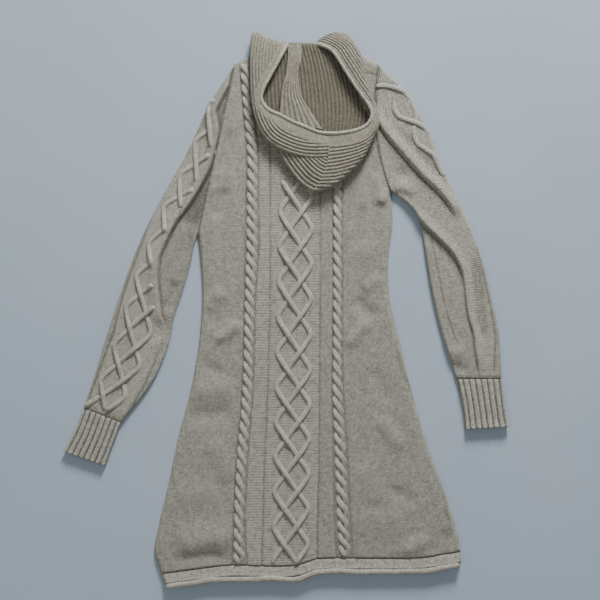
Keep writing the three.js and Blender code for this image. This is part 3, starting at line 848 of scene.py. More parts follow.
@dataclass(frozen=True)
class Body:
    """The front and the back of the dress, with the cables knitted into the back.

    Attributes:
        rows: rows of points up the back.
        gutter_depth: how deep a gutter is.
        gutter_width: how wide it is.
        steps_between: columns between each edge or gutter and the next, and how they crowd together.
        turned_steps: columns of a turned side.
        turn_power: how squarely a side turns down.
        deepest: lowest that a soft trough goes.
        purled: gutters between which the stitches are reversed.
        front_rows: rows of points up the front.
        front_columns: columns of points across it.
        seam_groove: depth of the groove beside an armhole.
        rope_bed: how far the cloth under a rope is sunk.
        shoulder_fall: how far the cloth falls at the shoulder seams.
        braid_start: height of the braid's first turn below the neck.
        braid_step: height from one turn of the braid to the next.
    """

    rows: int = 292
    gutter_depth: float = 1.5
    gutter_width: float = 1.5
    steps_between: Line = ((20, 0.72), (9, 1.0), (9, 1.0), (34, 1.0), (8, 1.0), (9, 1.0), (24, 1.35))
    turned_steps: int = 8
    turn_power: float = 2.4
    deepest: float = -3.2
    purled: tuple[int, int] = (1, 3)
    front_rows: int = 96
    front_columns: int = 49
    seam_groove: float = 2.0
    rope_bed: float = 0.5
    shoulder_fall: float = 2.2
    braid_start: float = 172.6
    braid_step: float = 59.3

    def surface(self, plan: Array) -> Array:
        """Height of the top of the back at points of the drawing, without its gutters."""
        return BACK_Z + HALF + FOLD_GAIN * relief(BODY_FOLDS, plan)

    def _across(self, y: Array) -> tuple[Array, Array]:
        """Places across each row, between its turned edges and its gutters.

        Args:
            y: heights of the rows, in a column.

        Returns:
            The places, and the gutters' places.
        """
        left, right = OUTLINE.ends(y)
        inset = [lerp(SEAM_GAP + TURN, HALF + TURN, OUTLINE.turned(side, y)) for side in Side]
        lines = table(GUTTERS, y[:, 0])
        stops = np.concatenate([left + inset[0], lines, right - inset[1]], axis=1)
        parts = []
        for k, (count, power) in enumerate(self.steps_between):
            t = np.arange(count) / count
            t = t**power if k else 1 - (1 - t) ** (1 / power)
            parts.append(lerp(stops[:, k:k + 1], stops[:, k + 1:k + 2], t[None]))
        parts.append(stops[:, -1:])
        return np.concatenate(parts, axis=1), lines

    def back(self) -> None:
        """Make the back panel with its turned sides, its gutters and its soft folds."""
        y = np.linspace(HEM_Y + 0.6, TOP_Y, self.rows)[:, None]
        flat, lines = self._across(y)
        left, right = OUTLINE.ends(y)
        q = np.linspace(0, 1, self.turned_steps + 1)[None, :-1]
        reach = 1 - (1 - q**self.turn_power) ** (1 / self.turn_power)
        xs, lifts = [], []
        for side in Side:
            turn = OUTLINE.turned(side, y)
            inset = lerp(SEAM_GAP + TURN * q, HALF + TURN * reach, turn)
            lift = lerp(1.0, q, turn)
            xs.append(left + inset if side is Side.LEFT else (right - inset)[:, ::-1])
            lifts.append(lift if side is Side.LEFT else lift[:, ::-1])
        x = np.concatenate([xs[0], flat, xs[1]], axis=1)
        lift = np.concatenate([lifts[0], np.ones_like(flat), lifts[1]], axis=1)
        plan = OUTLINE.place(x, y, left, right)
        inside = np.minimum(x - left, right - x)
        top_turn = ramp(y, TOP_Y - TURN, TOP_Y)
        shoulder = np.clip(1 - (inside - 40) / 30, 0, 1)
        soft = np.maximum(FOLD_GAIN * relief(BODY_FOLDS, plan), self.deepest) * ramp(inside, 2, 16)
        z = (BACK_Z + soft) * lift
        z = z - self.shoulder_fall * top_turn * shoulder
        middle = np.concatenate([plan, z[..., None]], axis=-1)
        normal = Knitter.normals(middle)
        normal *= np.where(normal[..., 2:] < -0.2, -1, 1)
        outer, inner = middle + HALF * normal, middle - HALF * normal
        gutters = sum(bump(x - lines[:, k:k + 1], self.gutter_width) for k in range(lines.shape[1]))
        bed = ((x > lines[:, 0:1]) & (x < lines[:, 1:2])) | ((x > lines[:, 4:5]) & (x < lines[:, 5:6]))
        armholes = sum(
            bump(x - (left if side is Side.LEFT else right), 3.0) * (1 - OUTLINE.turned(side, y))
            for side in Side
        )
        fine = relief(SEAM_LINES, plan) - self.gutter_depth * gutters
        fine = fine - self.rope_bed * bed - self.seam_groove * armholes
        outer[..., 2] += fine * lift
        keep_above(outer)
        keep_above(inner)
        uv = np.stack([x - lines[:, 2:3], plan[..., 1]], axis=-1) * METRES
        piece = Knitter.shell("dress_back", outer, inner, uv, BODY_YARN)
        start, end = (lines[:, k:k + 1] for k in self.purled)
        Knitter.mark(piece, ((x > start) & (x < end)).astype(float))
        # Painted shade in the gutters, seam lines, rope beds and armhole grooves, darker the deeper they are.
        Knitter.mark(piece, np.clip(-GROOVE_SHADE * fine, 0, 1), "groove")
        dress(piece, "back_panel")
        declare(middle, self.cables())

    def cables(self) -> list[Piece]:
        """Make the ropes and the braid of the back.

        Returns:
            The three pieces.
        """
        made = []
        for name, first, top in (("rope_left", 0, 424.0), ("rope_right", 4, 262.0)):
            y = np.arange(HEM_Y + 3, top, 1.9)[::-1]
            lines = table(GUTTERS, y)
            mid, gap = (lines[:, first] + lines[:, first + 1]) / 2, lines[:, first + 1] - lines[:, first]
            made.append(Rope(name).build(self, y, mid, np.clip(gap * 0.23, 3.6, 5.6)))
        steps = range(-2, 12)
        turns = [
            tuple(
                (k, x, self.braid_start - self.braid_step * k + 0.8 * math.sin(k))
                for k, x in zip(steps, np.linspace(*ends, len(steps)))
            )
            for ends in ((-7, -23), (45.5, 35))
        ]
        made.append(Braid("braid_back", *turns, first=-0.9, last=10.05).build(self.surface))
        return made

    def front(self) -> None:
        """Make the front panel, which lies on the floor inside the turned edges of the back."""
        y = np.linspace(HEM_Y + 0.6, TOP_Y - HALF - 0.3, self.front_rows)[:, None]
        left, right = OUTLINE.ends(y)
        insets = [
            lerp(SEAM_GAP, WALL + 0.3, 1 - ramp(y, ARMHOLES[side].y, ARMHOLES[side].y + TURN_FADE))
            for side in Side
        ]
        share = np.linspace(0, 1, self.front_columns)[None]
        x = lerp(left + insets[0], right - insets[1], share)
        plan = OUTLINE.place(x, y, left, right)
        neck = np.maximum(0, 1 - np.abs(share - 0.5) / (0.5 - NECK_START))
        near = np.clip((y - 250) / (TOP_Y - HALF - 0.3 - 250), 0, 1)
        plan[..., 1] -= NECK_DEPTH * neck * near
        ripple = 0.35 * np.sin(plan[..., 0] / 31) * np.sin(plan[..., 1] / 47)
        middle = np.concatenate([plan, np.full(x.shape, FRONT_Z)[..., None]], axis=-1)
        outer, inner = middle.copy(), middle.copy()
        outer[..., 2] += HALF + ripple - 0.2
        inner[..., 2] -= HALF
        piece = Knitter.shell("dress_front", outer, inner, plan * METRES, BODY_YARN)
        dress(piece, "front_panel")
        declare(middle)


@dataclass(frozen=True)
class Rope:
    """A two-strand rope twisted up the cloth.

    Attributes:
        name: the piece's name.
        lobe: height of half a turn.
        lift: how far a strand rises over the other.
        width: breadth of a strand.
        height: its thickness.
    """

    name: str
    lobe: float = 20.4
    lift: float = 1.7
    width: float = 9.2
    height: float = 4.8

    def build(self, body: Body, y: Array, middle: Array, swing: Array) -> Piece:
        """Make both strands.

        Args:
            body: the body that they lie on.
            y: heights down the rope.
            middle: place across of its middle at each height.
            swing: how far a strand swings to each side.

        Returns:
            The rope.
        """
        lobe = self.lobe + 1.6 * ramp(-y, 120, 320)
        phase = np.r_[0, np.cumsum(-np.diff(y) / lobe[:-1])] * math.pi
        down = y + OUTLINE.shift(middle, (middle + 220) / 520, y)
        strands = []
        for turn in (0.0, math.pi):
            x = middle - swing * np.cos(phase + turn)
            ground = body.surface(np.stack([x, down], axis=-1)) - 0.5
            z = ground + self.lift * np.sin(phase + turn) - 0.1
            strands.append(np.stack([x, down, z], axis=-1))
        rope = Knitter.cable(self.name, strands, self.width, self.height, CABLE_YARN)
        return dress(rope)


@dataclass(frozen=True)
class Braid:
    """A braid of three raised strands, crossing over and under.

    Attributes:
        name: the piece's name.
        left: step number and place of each left turn.
        right: the same for the right side, across from it.
        first: step at which the strands begin.
        last: step at which they end.
        sink: line beyond whose left the strands dive under the cloth.
        width: breadth of a strand.
        height: its thickness.
        step: steps between one point of a strand and the next.
        rounding: share of a crossing over which a turn is rounded.
        over: how far a strand rises where it crosses over.
        under: how far it dips where it crosses under.
        dive: how deep it dives at the sink line.
    """

    name: str
    left: Line
    right: Line
    first: float
    last: float
    sink: Line = ()
    width: float = 8.4
    height: float = 4.4
    step: float = 0.028
    rounding: float = 0.10
    over: float = 2.5
    under: float = 0.7
    dive: float = 12.0

    def build(self, surface: Callable[[Array], Array]) -> Piece:
        """Make the strands.

        Args:
            surface: gives the height of the cloth at points of the plan.

        Returns:
            The braid, all strands in one.
        """
        strands = []
        steps = np.arange(self.first, self.last, self.step)
        sides = table(self.left, steps), table(self.right, steps)
        for strand in range(3):
            run = ((steps - strand) / 3) % 1.0
            half = np.where(run < 0.5, run, 1 - run) * 2
            bend, flipped = self.rounding, 1 - half
            swing = np.where(half < bend, half**2 / (2 * bend), half - bend / 2)
            swing = np.where(flipped < bend, 1 - bend - flipped**2 / (2 * bend), swing) / (1 - bend)
            over = np.where(run < 0.5, 1 / 3, 2 / 3)
            plan = lerp(sides[0], sides[1], swing[:, None])
            lift = self.over * bump(half - over, 0.15) - self.under * bump(half - (1 - over), 0.13)
            z = surface(plan) + 0.8 + lift
            if self.sink:
                aside, _ = beside(plan, rounded(self.sink, 40))
                z = np.maximum(z - self.dive * ramp(aside, -10.0, -1.0), self.height / 2 + 0.3)
            strands.append(np.concatenate([plan, z[:, None]], axis=-1))
        return dress(Knitter.cable(self.name, strands, self.width, self.height, CABLE_YARN))


# Hem


@dataclass(frozen=True)
class Hem:
    """The narrow bands below the hem line and their rolled edges.

    Attributes:
        band: depth of a band.
        roll: radius of a rolled edge.
        columns: columns of points across a band.
        power: how squarely the ends of the back's band turn down.
        rib: breadth of a rib.
        rib_rise: how far a rib stands out.
        seam_groove: depth of the hem line.
        thinnest: least thickness of a band.
    """

    band: float = 17.0
    roll: float = 3.6
    columns: int = 340
    power: float = 2.2
    rib: float = 4.6
    rib_rise: float = 0.55
    seam_groove: float = 1.6
    thinnest: float = 0.4

    def _rows(self, share: Array, back: bool) -> tuple[Array, Array]:
        """Points of the middle of a band.

        Args:
            share: shares of the way down it.
            back: whether it is the back's band.

        Returns:
            The points, and the share of the way across of each column.
        """
        y = HEM_Y - 0.1 - share[:, None] * self.band
        left, right = OUTLINE.ends(y)
        inset = HALF if back else WALL + 0.3
        across = np.linspace(0, 1, self.columns)[None]
        x = lerp(left + inset, right - inset, across)
        plan = OUTLINE.place(x, y, left, right)
        if not back:
            z = np.full(x.shape, FRONT_Z)
        else:
            inside = np.minimum(x - left, right - x) - HALF
            curve = (1 - (1 - np.clip(inside / TURN, 0, 1)) ** self.power) ** (1 / self.power)
            z = lerp(BACK_Z, 3 * self.roll + 0.3, share[:, None] ** 2) * curve
            z = z + relief(BODY_FOLDS, plan) * 0.5 * ramp(inside, 2, 16)
        return np.concatenate([plan, z[..., None]], axis=-1), across

    def build(self) -> None:
        """Make both bands and both rolled edges."""
        for back in (True, False):
            layer = "back" if back else "front"
            share = np.linspace(0, 1, 9)
            middle, across = self._rows(share, back)
            ribs = self.rib_rise * np.sin(across * 500 / self.rib * 2 * math.pi)
            ribs = ribs * np.sin(math.pi * np.clip(share, 0.04, 1))[:, None]
            groove = -self.seam_groove * bump(share * self.band, 2.4)[:, None]
            outer, inner = middle.copy(), middle.copy()
            outer[..., 2] += HALF + (ribs + groove if back else 0)
            inner[..., 2] -= HALF
            keep_above(inner)
            keep_above(outer, inner[..., 2] + self.thinnest)
            piece = Knitter.shell(f"hem_{layer}", outer, inner, Knitter.ruled(middle), HEM_YARN)
            rolled = self._rolled(layer, middle[-1])
            dress(piece, f"hem_band_{layer}")
            declare(middle, [rolled])

    def _rolled(self, layer: str, edge: Array) -> Piece:
        """Make the rolled edge of a band.

        Args:
            layer: back or front.
            edge: points of the band's last row.

        Returns:
            The rolled edge.
        """
        path = edge[2:-2].copy()
        height = {"back": 3 * self.roll + 0.3, "front": self.roll}[layer]
        near = bump(path[:, 0] + 20, 90)
        wobble = 0.35 * np.sin(path[:, 0] / 9.0) + (0.3 + 1.5 * near) * np.sin(path[:, 0] / 17.0)
        path[:, 1] -= self.roll + 1.1 + wobble
        path[:, 2] = height + 0.2 * np.abs(wobble) + (0.05 if layer == "front" else 0.9)
        piece = Knitter.cable(f"hem_edge_{layer}", [path], 2 * self.roll + 2.4, 2 * self.roll, TRIM_YARN, 14)
        return dress(piece, f"hem_roll_{layer}")


# Sleeves and cuffs


@dataclass(frozen=True)
class Tube:
    """A flat tube of cloth from one section to the next.

    Attributes:
        sections: inner fold's x and y, outer fold's x and y, and height of the upper cloth's middle.
        bow: how far the first section bows sideways.
        under: columns of points across the under cloth.
        turn: columns round each fold.
        upper: columns across the upper cloth.
    """

    sections: Line
    bow: float = 0.0
    under: int = 16
    turn: int = 9
    upper: int = 66

    def section(self, share: Array) -> Array:
        """The section at shares of the way down."""
        return through(range(len(self.sections)), self.sections, share * (len(self.sections) - 1))

    def ring(self, share: Array, inset: float) -> tuple[Array, Array]:
        """Rings of points, set in from the outside.

        Args:
            share: shares of the way down, one ring for each.
            inset: distance in from the outside of the cloth.

        Returns:
            The points, and how far up each column is, 0 on the under cloth to 1 on the upper.
        """
        row = self.section(share)
        inner, outer, height = row[:, None, 0:2], row[:, None, 2:4], row[:, 4:5]
        width = np.linalg.norm(outer - inner, axis=-1)
        bottom, top = inset, height + HALF - inset
        middle, radius, fold = (top + bottom) / 2, (top - bottom) / 2, (height + HALF) / 2
        across = np.linspace(0, 1, self.under)[None]
        upper = np.linspace(0, 1, self.upper)[None]
        angle = math.pi * (np.arange(self.turn) + 1)[None] / (self.turn + 1)
        distance = np.concatenate([
            lerp(fold, width - fold, across), width - fold + (fold - inset) * np.sin(angle),
            lerp(width - fold, fold, upper), fold - (fold - inset) * np.sin(angle),
        ], axis=1)
        z = np.concatenate([
            bottom + 0 * height * across, middle - radius * np.cos(angle),
            top + 0 * upper, middle + radius * np.cos(angle),
        ], axis=1)
        part = (distance / width)[..., None]
        plan = lerp(inner, outer, part)
        bow = self.bow * (1 - share[:, None]) ** 6
        plan[..., 0] += bow * 4 * part[..., 0] * (1 - part[..., 0])
        up = np.clip((z - bottom) / (top - bottom), 0, 1)
        return np.concatenate([plan, z[..., None]], axis=-1), up

    def top_at(self, plan: Array) -> Array:
        """Height of the outside of the tube, round its folds too.

        Args:
            plan: points of the plan, x and y in the last axis.

        Returns:
            The height at each of them.
        """
        share = np.linspace(0, 1, 80)
        row = self.section(share)
        _, along = beside(plan, (row[:, 0:2] + row[:, 2:4]) / 2)
        inner, _ = beside(plan, row[:, 0:2])
        outer, _ = beside(plan, row[:, 2:4])
        near = np.minimum(np.abs(inner), np.abs(outer))
        height = np.interp(along, share, row[:, 4]) + HALF
        fold = height / 2
        beyond = np.clip(1 - near / fold, 0, 1)
        return fold + fold * np.sqrt(1 - beyond**2)


SLEEVE_LEFT = Tube((
    (-149, 138, -88, 421, BACK_Z), (-153.5, 124, -131, 352, BACK_Z), (-157, 110, -170, 268, 8.2),
    (-161, 88, -210, 198, 8.6), (-174, 42, -247, 124, 8.6), (-189, -3, -275, 50, 8.4),
    (-200, -55, -299, -22, 8.2), (-228, -118, -322, -98, 8.0), (-279, -185, -343, -160, 7.8),
))
SLEEVE_RIGHT = Tube((
    (177, 207, 158, 421, BACK_Z), (190, 198, 202, 376, BACK_Z), (206, 186, 241, 308, 8.2),
    (221, 167, 270, 236, 8.6), (231, 136, 303, 168, 8.6), (239, 86, 329, 103, 8.6),
    (248, 34, 347, 34, 8.6), (262, -25, 361, -35, 8.4), (289, -111, 366, -111, 7.8),
), bow=-16)
CUFF_LEFT = Tube((
    (-279.1, -185.4, -343.1, -160.4, 7.8), (-293, -222, -358, -198, 8.6), (-306, -258, -376, -234, 8.6),
))
CUFF_RIGHT = Tube((
    (289.2, -111.35, 366.2, -111.35, 7.8), (299, -154, 371, -152, 8.6), (304, -196, 377, -192, 8.6),
))

LEFT_RIDGE: Line = (
    (-95, 411), (-97, 390), (-116, 355), (-122, 342), (-118, 326), (-116, 308), (-117, 288), (-129, 252),
    (-149, 211), (-168, 181), (-190, 151), (-211, 107), (-219, 88), (-220, 54), (-216, 13), (-211, -15),
    (-204, -26),
)


@dataclass(frozen=True)
class Sleeve:
    """A long sleeve, seamed under the arm, with the folds that it lies in.

    Attributes:
        side: which sleeve it is.
        tube: its flat shape.
        folds: its soft ridges and troughs.
        lines: its narrow grooves.
        purl_from: line on whose right the reversed stitches start.
        purl_to: line on whose left they end.
        rows: rings of points down the sleeve.
        deepest: lowest that a soft trough goes.
        armhole: length of the sleeve by which the groove at its armhole is measured.
        reach: the same for the groove above the cuff.
        trough_shade: how dark the painted shade in a soft trough is, to a millimetre of its depth.
    """

    side: Side
    tube: Tube
    folds: tuple[Fold, ...]
    lines: tuple[Fold, ...]
    purl_from: Line
    purl_to: Line
    rows: int = 215
    deepest: float = -3.4
    armhole: float = 290.0
    reach: float = 420.0
    trough_shade: float = 0.12

    def surface(self, plan: Array) -> Array:
        """Height of the sleeve's outside at points of the plan."""
        return self.tube.top_at(plan) + relief(self.folds, plan)

    def build(self, cables: Sequence[Piece]) -> None:
        """Make the sleeve.

        Args:
            cables: the cables that lie on it.
        """
        share = np.linspace(0, 1, self.rows)
        outer, up = self.tube.ring(share, 0.0)
        inner, _ = self.tube.ring(share, WALL)
        away = -1 if self.side is Side.LEFT else 1
        for grid in (outer, inner):
            grid[..., 0] += away * SEAM_GAP * (1 - share[:, None])
        plan = outer[..., :2]
        soft = np.maximum(relief(self.folds, plan), self.deepest) * up
        ends = 1.9 * bump(share * self.armhole, 3.2) + 1.2 * bump((1 - share) * self.reach, 3.0)
        fine = (relief(self.lines, plan) - ends[:, None]) * up
        outer[..., 2] += soft + fine
        inner[..., 2] += soft
        middle = self.tube.under + self.tube.turn + self.tube.upper // 2
        ruled = Knitter.ruled(np.concatenate([outer, outer[:, :1]], axis=1), middle)
        name = f"sleeve_{self.side.value}"
        piece = Knitter.shell(f"{name}_knit", outer, inner, ruled, BODY_YARN)
        after = beside(plan, rounded(self.purl_from, 30))[0]
        before = beside(plan, rounded(self.purl_to, 30))[0]
        Knitter.mark(piece, ((after > 0) & (before < 0) & (up > 0.5)).astype(float))
        # Painted shade in the narrow grooves and the soft troughs of the upper cloth, darker the deeper they
        # are.
        shade = 0.45 * np.maximum(-fine, 0) + self.trough_shade * np.maximum(-soft - 0.4, 0)
        shade = shade * up
        Knitter.mark(piece, np.clip(shade, 0, 1), "groove")
        dress(piece, name)
        declare((outer + inner) / 2, cables, closed=True)


@dataclass(frozen=True)
class Cuff:
    """A ribbed cuff, open at its end.

    Attributes:
        side: which sleeve it ends.
        tube: its flat shape.
        pitch: breadth of a rib.
        depth: how deep the grooves are.
        length: its length.
        gather: share of their depth that the ribs lose at the seam.
        mouth: how far the end of the right cuff gapes.
        rows: rings of points down it.
    """

    side: Side
    tube: Tube
    pitch: float = 9.6
    depth: float = 2.6
    length: float = 80.0
    gather: float = 0.25
    mouth: float = 1.6
    rows: int = 44

    def build(self) -> None:
        """Make the cuff with its ribs."""
        tube = Tube(self.tube.sections, under=40, turn=9, upper=62)
        share = np.linspace(0, 1, self.rows)
        outer, up = tube.ring(share, 0.0)
        inner, _ = tube.ring(share, WALL)
        round_outer = np.concatenate([outer, outer[:, :1]], axis=1)
        girth = Knitter.ruled(round_outer)[..., 0] / METRES
        count = round(float(girth[:, -1].mean()) / self.pitch)
        phase = girth[:, :-1] / girth[:, -1:] * count
        wave = rib_wave(phase) ** 0.8
        outward = Knitter.normals(outer, closed=True)
        centre = inner.mean(axis=1, keepdims=True)
        flip = np.sign(((outer - centre) * outward).sum(axis=-1, keepdims=True))
        down = share[:, None] * self.length
        squeeze, seam = 1 - self.gather * bump(down, 6.0), 0.8 * bump(down, 2.0)
        lip = 0.5 * bump(self.length - down, 4.0)
        grown = self.depth * (wave - 0.72) * squeeze + lip - seam
        grown = grown[..., None]
        outer = outer + outward * flip * np.where(up[..., None] > 0.05, grown, np.minimum(grown, 0))
        keep_above(outer)
        if self.side is Side.RIGHT:
            gape = self.mouth * ramp(share, 0.8, 1.0)[:, None] * up
            outer[..., 2] += gape
            inner[..., 2] += gape
        name = f"cuff_{self.side.value}"
        uv = Knitter.ruled(np.concatenate([outer, outer[:, :1]], axis=1))
        piece = Knitter.shell(f"{name}_rib", outer, inner, uv, CUFF_YARN)
        # Painted shade in the grooves between the ribs.
        Knitter.mark(piece, np.clip(1.15 - 1.7 * wave, 0, 1), "groove")
        dress(piece, name)
        declare((outer + inner) / 2, closed=True)


def sleeves() -> None:
    """Make both sleeves with their cables, and both cuffs."""
    gutter: Line = (
        (-161, 282), (-191, 230), (-206, 207), (-224, 173), (-241, 128), (-253, 96), (-268, 55), (-281, 13),
        (-294, -40), (-307, -71), (-321, -110), (-338, -155),
    )
    left = Sleeve(
        Side.LEFT, SLEEVE_LEFT,
        folds=(
            Fold(LEFT_RIDGE, 7.0, 3.0, 13, 0.06),
            Fold(((-108, 352), (-104, 320), (-104, 290), (-116, 252), (-137, 208), (-154, 176), (-176, 140)),
                 -5.0, 18, 8, 0.12),
            Fold(((-212, -38), (-231, -88), (-245, -122), (-254, -136), (-280, -180)), 3.4, 5, 12, 0.1),
            Fold(((-258, 40), (-262, -20), (-276, -70)), 1.8, 18, 20),
            Fold(((-190, 60), (-195, 30), (-206, 0)), -3.0, 13, 12),
            Fold(((-165, 110), (-180, 70), (-192, 20), (-202, -30)), 2.2, 9, 9),
        ),
        lines=(
            Fold(gutter, -1.7, 1.7, 1.7, 0.03),
            Fold(tuple((x + 4.5, y - 1) for x, y in LEFT_RIDGE), -2.0, 2.6, 2.0, 0.04),
            Fold(((-128, 292), (-156, 227), (-182, 164), (-216, 100)), -0.9, 1.8, 1.8, 0.1),
            Fold(((-206, -40), (-225, -90), (-241, -125), (-250, -141), (-276, -184)), -1.2, 1.5, 1.5, 0.05),
        ),
        purl_from=gutter, purl_to=LEFT_RIDGE,
    )
    turns = ((
        (-108, 410), (-130, 351), (-153, 292), (-179, 234), (-206, 181), (-231, 120), (-252, 65), (-270, 11),
        (-290, -52), (-312, -110), (-342, -160),
    ), (
        (-82, 378), (-97, 320), (-112, 262), (-137, 205), (-162, 152), (-187, 100), (-206, 47), (-222, -5),
        (-239, -62), (-260, -116), (-290, -168),
    ))
    numbered = [tuple((k, *turn) for k, turn in enumerate(side, -2)) for side in turns]
    braid = Braid(
        "braid_sleeve_left", *numbered, first=-1.35, last=8.0, sink=LEFT_RIDGE, width=8.0, height=4.2
    )
    left.build([braid.build(left.surface)])

    upper_fold: Line = (
        (138, 356), (150, 339), (167, 311), (189, 285), (211, 259), (235, 233), (256, 214), (278, 188),
        (292, 160),
    )
    lower_fold: Line = (
        (185, 203), (204, 181), (224, 164), (248, 140), (279, 110), (293, 89), (300, 72), (305, 40),
        (307, 19), (312, -10), (320, -32), (321, -55), (325, -76), (329, -105),
    )
    right = Sleeve(
        Side.RIGHT, SLEEVE_RIGHT,
        folds=(
            Fold(upper_fold, 5.8, 9, 4.6, 0.1),
            Fold(tuple((x + 1, y - 18) for x, y in upper_fold[1:]), -2.2, 12, 22, 0.25),
            Fold(tuple((x + 14, y + 12) for x, y in upper_fold[2:]), -1.8, 8, 8, 0.2),
            Fold(lower_fold, 5.4, 9, 3.6, 0.1),
            Fold(tuple((x - 4, y - 12) for x, y in lower_fold[1:8]), -2.2, 8, 11, 0.2),
            Fold(((318, 104), (323, 64), (328, 20), (332, -20), (338, -60)), -5.0, 8, 9),
            Fold(((262, -30), (272, -62), (290, -66), (310, -60)), 3.0, 9, 12),
            Fold(((276, -84), (292, -92), (312, -94)), -2.6, 7, 8),
            Fold(((172, 204), (188, 212), (202, 211), (222, 198)), 4.0, 13, 8, 0.35),
            Fold(((190, 250), (196, 236), (208, 226)), -1.6, 12, 10),
            Fold(((196, 376), (184, 392), (168, 398)), 1.8, 9, 9),
            Fold(((352, 20), (356, -20), (360, -50)), 1.2, 8, 8),
        ),
        lines=(
            Fold(tuple((x - 4, y - 5) for x, y in upper_fold), -1.5, 1.4, 1.8, 0.12),
            Fold(((321, 116), (333, 72), (342, 30), (350, -12), (354, -55), (351, -106)), -1.3, 1.6, 1.6, 0.05),
            Fold(((247, 125), (255, 82), (262, 45), (268, 15), (278, -19), (289, -50)), -1.1, 1.6, 1.6, 0.05),
            Fold(tuple((x - 3, y - 4) for x, y in lower_fold[1:]), -1.3, 1.4, 1.6, 0.04),
        ),
        purl_from=lower_fold, purl_to=((345, 130), (333, 72), (342, 30), (350, -12), (354, -55), (351, -106)),
    )
    strands = (
        ((152, 385, 0), (166, 386, 0), (180, 383.5, 0), (197, 377, 0), (210, 363, 0), (217, 348, 0),
         (220, 335, -0.5), (219, 322, -1), (217, 311, 0), (217.5, 300, 0), (223.5, 288, 0),
         (238.7, 276.6, 1), (249.6, 268, 1.6), (258, 250, 0), (268, 232, -0.5)),
        ((184, 362, -2), (184, 346, 0), (190, 335, 0), (204, 329, 0.6), (221, 323, 1.6), (234, 315, 0.6),
         (242, 302, 0), (247, 287, -0.4), (249, 272, -1), (252, 262, -1.5)),
    )
    paths = []
    for strand in strands:
        line = rounded(strand, 110)
        height = right.surface(line[:, :2]) + 0.5 + line[:, 2]
        paths.append(np.concatenate([line[:, :2], height[:, None]], axis=-1))
    right.build([dress(Knitter.cable("braid_sleeve_right", paths, 8.2, 4.0, CABLE_YARN))])
    Cuff(Side.LEFT, CUFF_LEFT).build()
    Cuff(Side.RIGHT, CUFF_RIGHT).build()


# Hood


@dataclass(frozen=True)
class HoodBand:
    """One side of the hood around its opening, from the face edge over the outer fold.

    Attributes:
        side: which side it is.
        rows: face edge's x and y, outer edge's x and y, height of the cloth, depth of the outer fold
            below it, how far the row bows sideways and how far it arches towards the top.
        plain: width beside the face edge that has no ribs, at each row.
        pitch: breadth of a rib at each row.
        from_outside: whether the ribs follow the outer edge, and not the face edge.
        lines: lines of points along the band.
        columns: points across what shows of it.
        hidden: points across what is tucked under.
        tuck: how far its outer edge is tucked under.
        swell: how far it swells between its edges.
        depth: how deep the grooves between ribs are.
        seen_steps: points of the outer fold that show.
    """

    side: Side
    rows: Line
    plain: tuple[float, ...]
    pitch: tuple[float, ...]
    from_outside: bool = False
    lines: int = 150
    columns: int = 120
    hidden: int = 7
    tuck: float = 12.0
    swell: float = 2.2
    depth: float = 1.8
    seen_steps: int = 11

    def line_at(self, row: Array) -> tuple[Array, float]:
        """The cloth across the band at one row.

        Args:
            row: the row's eight values.

        Returns:
            Points from the face edge over the outer fold to the tucked edge, and the distance up to
            which they show.
        """
        face, out, (top, drop, bow, arch) = row[0:2], row[2:4], row[4:8]
        width = np.linalg.norm(out - face)
        radius = min(drop / 2, width * 0.9)
        flat = np.linspace(0, 1, 40)
        plan = lerp(face, out, (flat * (width - radius) / width)[:, None])
        plan += np.array([bow, arch]) * (4 * flat * (1 - flat))[:, None]
        rise = self.swell * np.sin(math.pi * flat) * min(1.0, width / 40)
        upper = np.concatenate([plan, (top + rise)[:, None]], axis=1)
        angle = np.linspace(0, math.pi, 18)[1:]
        base = lerp(face, out, (width - radius) / width)
        way = (out - face) / width
        round_plan = base + way * (radius * np.sin(angle))[:, None]
        fold = np.concatenate([round_plan, (top - drop / 2 + drop / 2 * np.cos(angle))[:, None]], axis=1)
        tuck = np.linspace(0, self.tuck, 6)[1:, None]
        under = np.concatenate([base - way * tuck, np.full((5, 1), top - drop)], axis=1)
        line = np.concatenate([upper, fold, under])
        return line, float(run(line)[len(upper) + self.seen_steps])

    def build(self, with_pieces: Sequence[Piece]) -> None:
        """Make this side of the hood.

        Args:
            with_pieces: separate pieces on it.
        """
        share = np.linspace(0, len(self.rows) - 1, self.lines)
        numbers = range(len(self.rows))
        middle, wave, shown = [], [], []
        plains, pitches = np.interp(share, numbers, self.plain), np.interp(share, numbers, self.pitch)
        for row, plain, pitch in zip(through(numbers, self.rows, share), plains, pitches):
            line, seen = self.line_at(row)
            tucked = np.linspace(seen, run(line)[-1], self.hidden + 1)[1:]
            at = np.r_[np.linspace(0, seen, self.columns), tucked]
            middle.append(at_run(line, at))
            wave.append(rib_wave((seen - at if self.from_outside else at - plain) / pitch))
            shown.append(ramp(at - plain, 0, 2.0) * (at <= seen))
        middle, wave, shown = np.array(middle), np.array(wave), np.array(shown)
        normal = Knitter.normals(middle)
        normal = normal * (1 if normal[:, :20, 2].mean() > 0 else -1)
        ribs = self.depth * (wave**0.8 - 0.7) * shown
        outer, inner = middle + (HALF + ribs)[..., None] * normal, middle - HALF * normal
        keep_above(outer, 0.3)
        keep_above(inner)
        piece = Knitter.shell(f"hood_{self.side.value}", outer, inner, Knitter.ruled(middle), SHADED_HOOD_YARN)
        # Painted shade in the grooves between the ribs.
        Knitter.mark(piece, rib_groove_shade(wave, 0.55) * shown, "groove")
        dress(piece, "hood" if self.side is Side.LEFT else None)
        declare(middle, with_pieces)


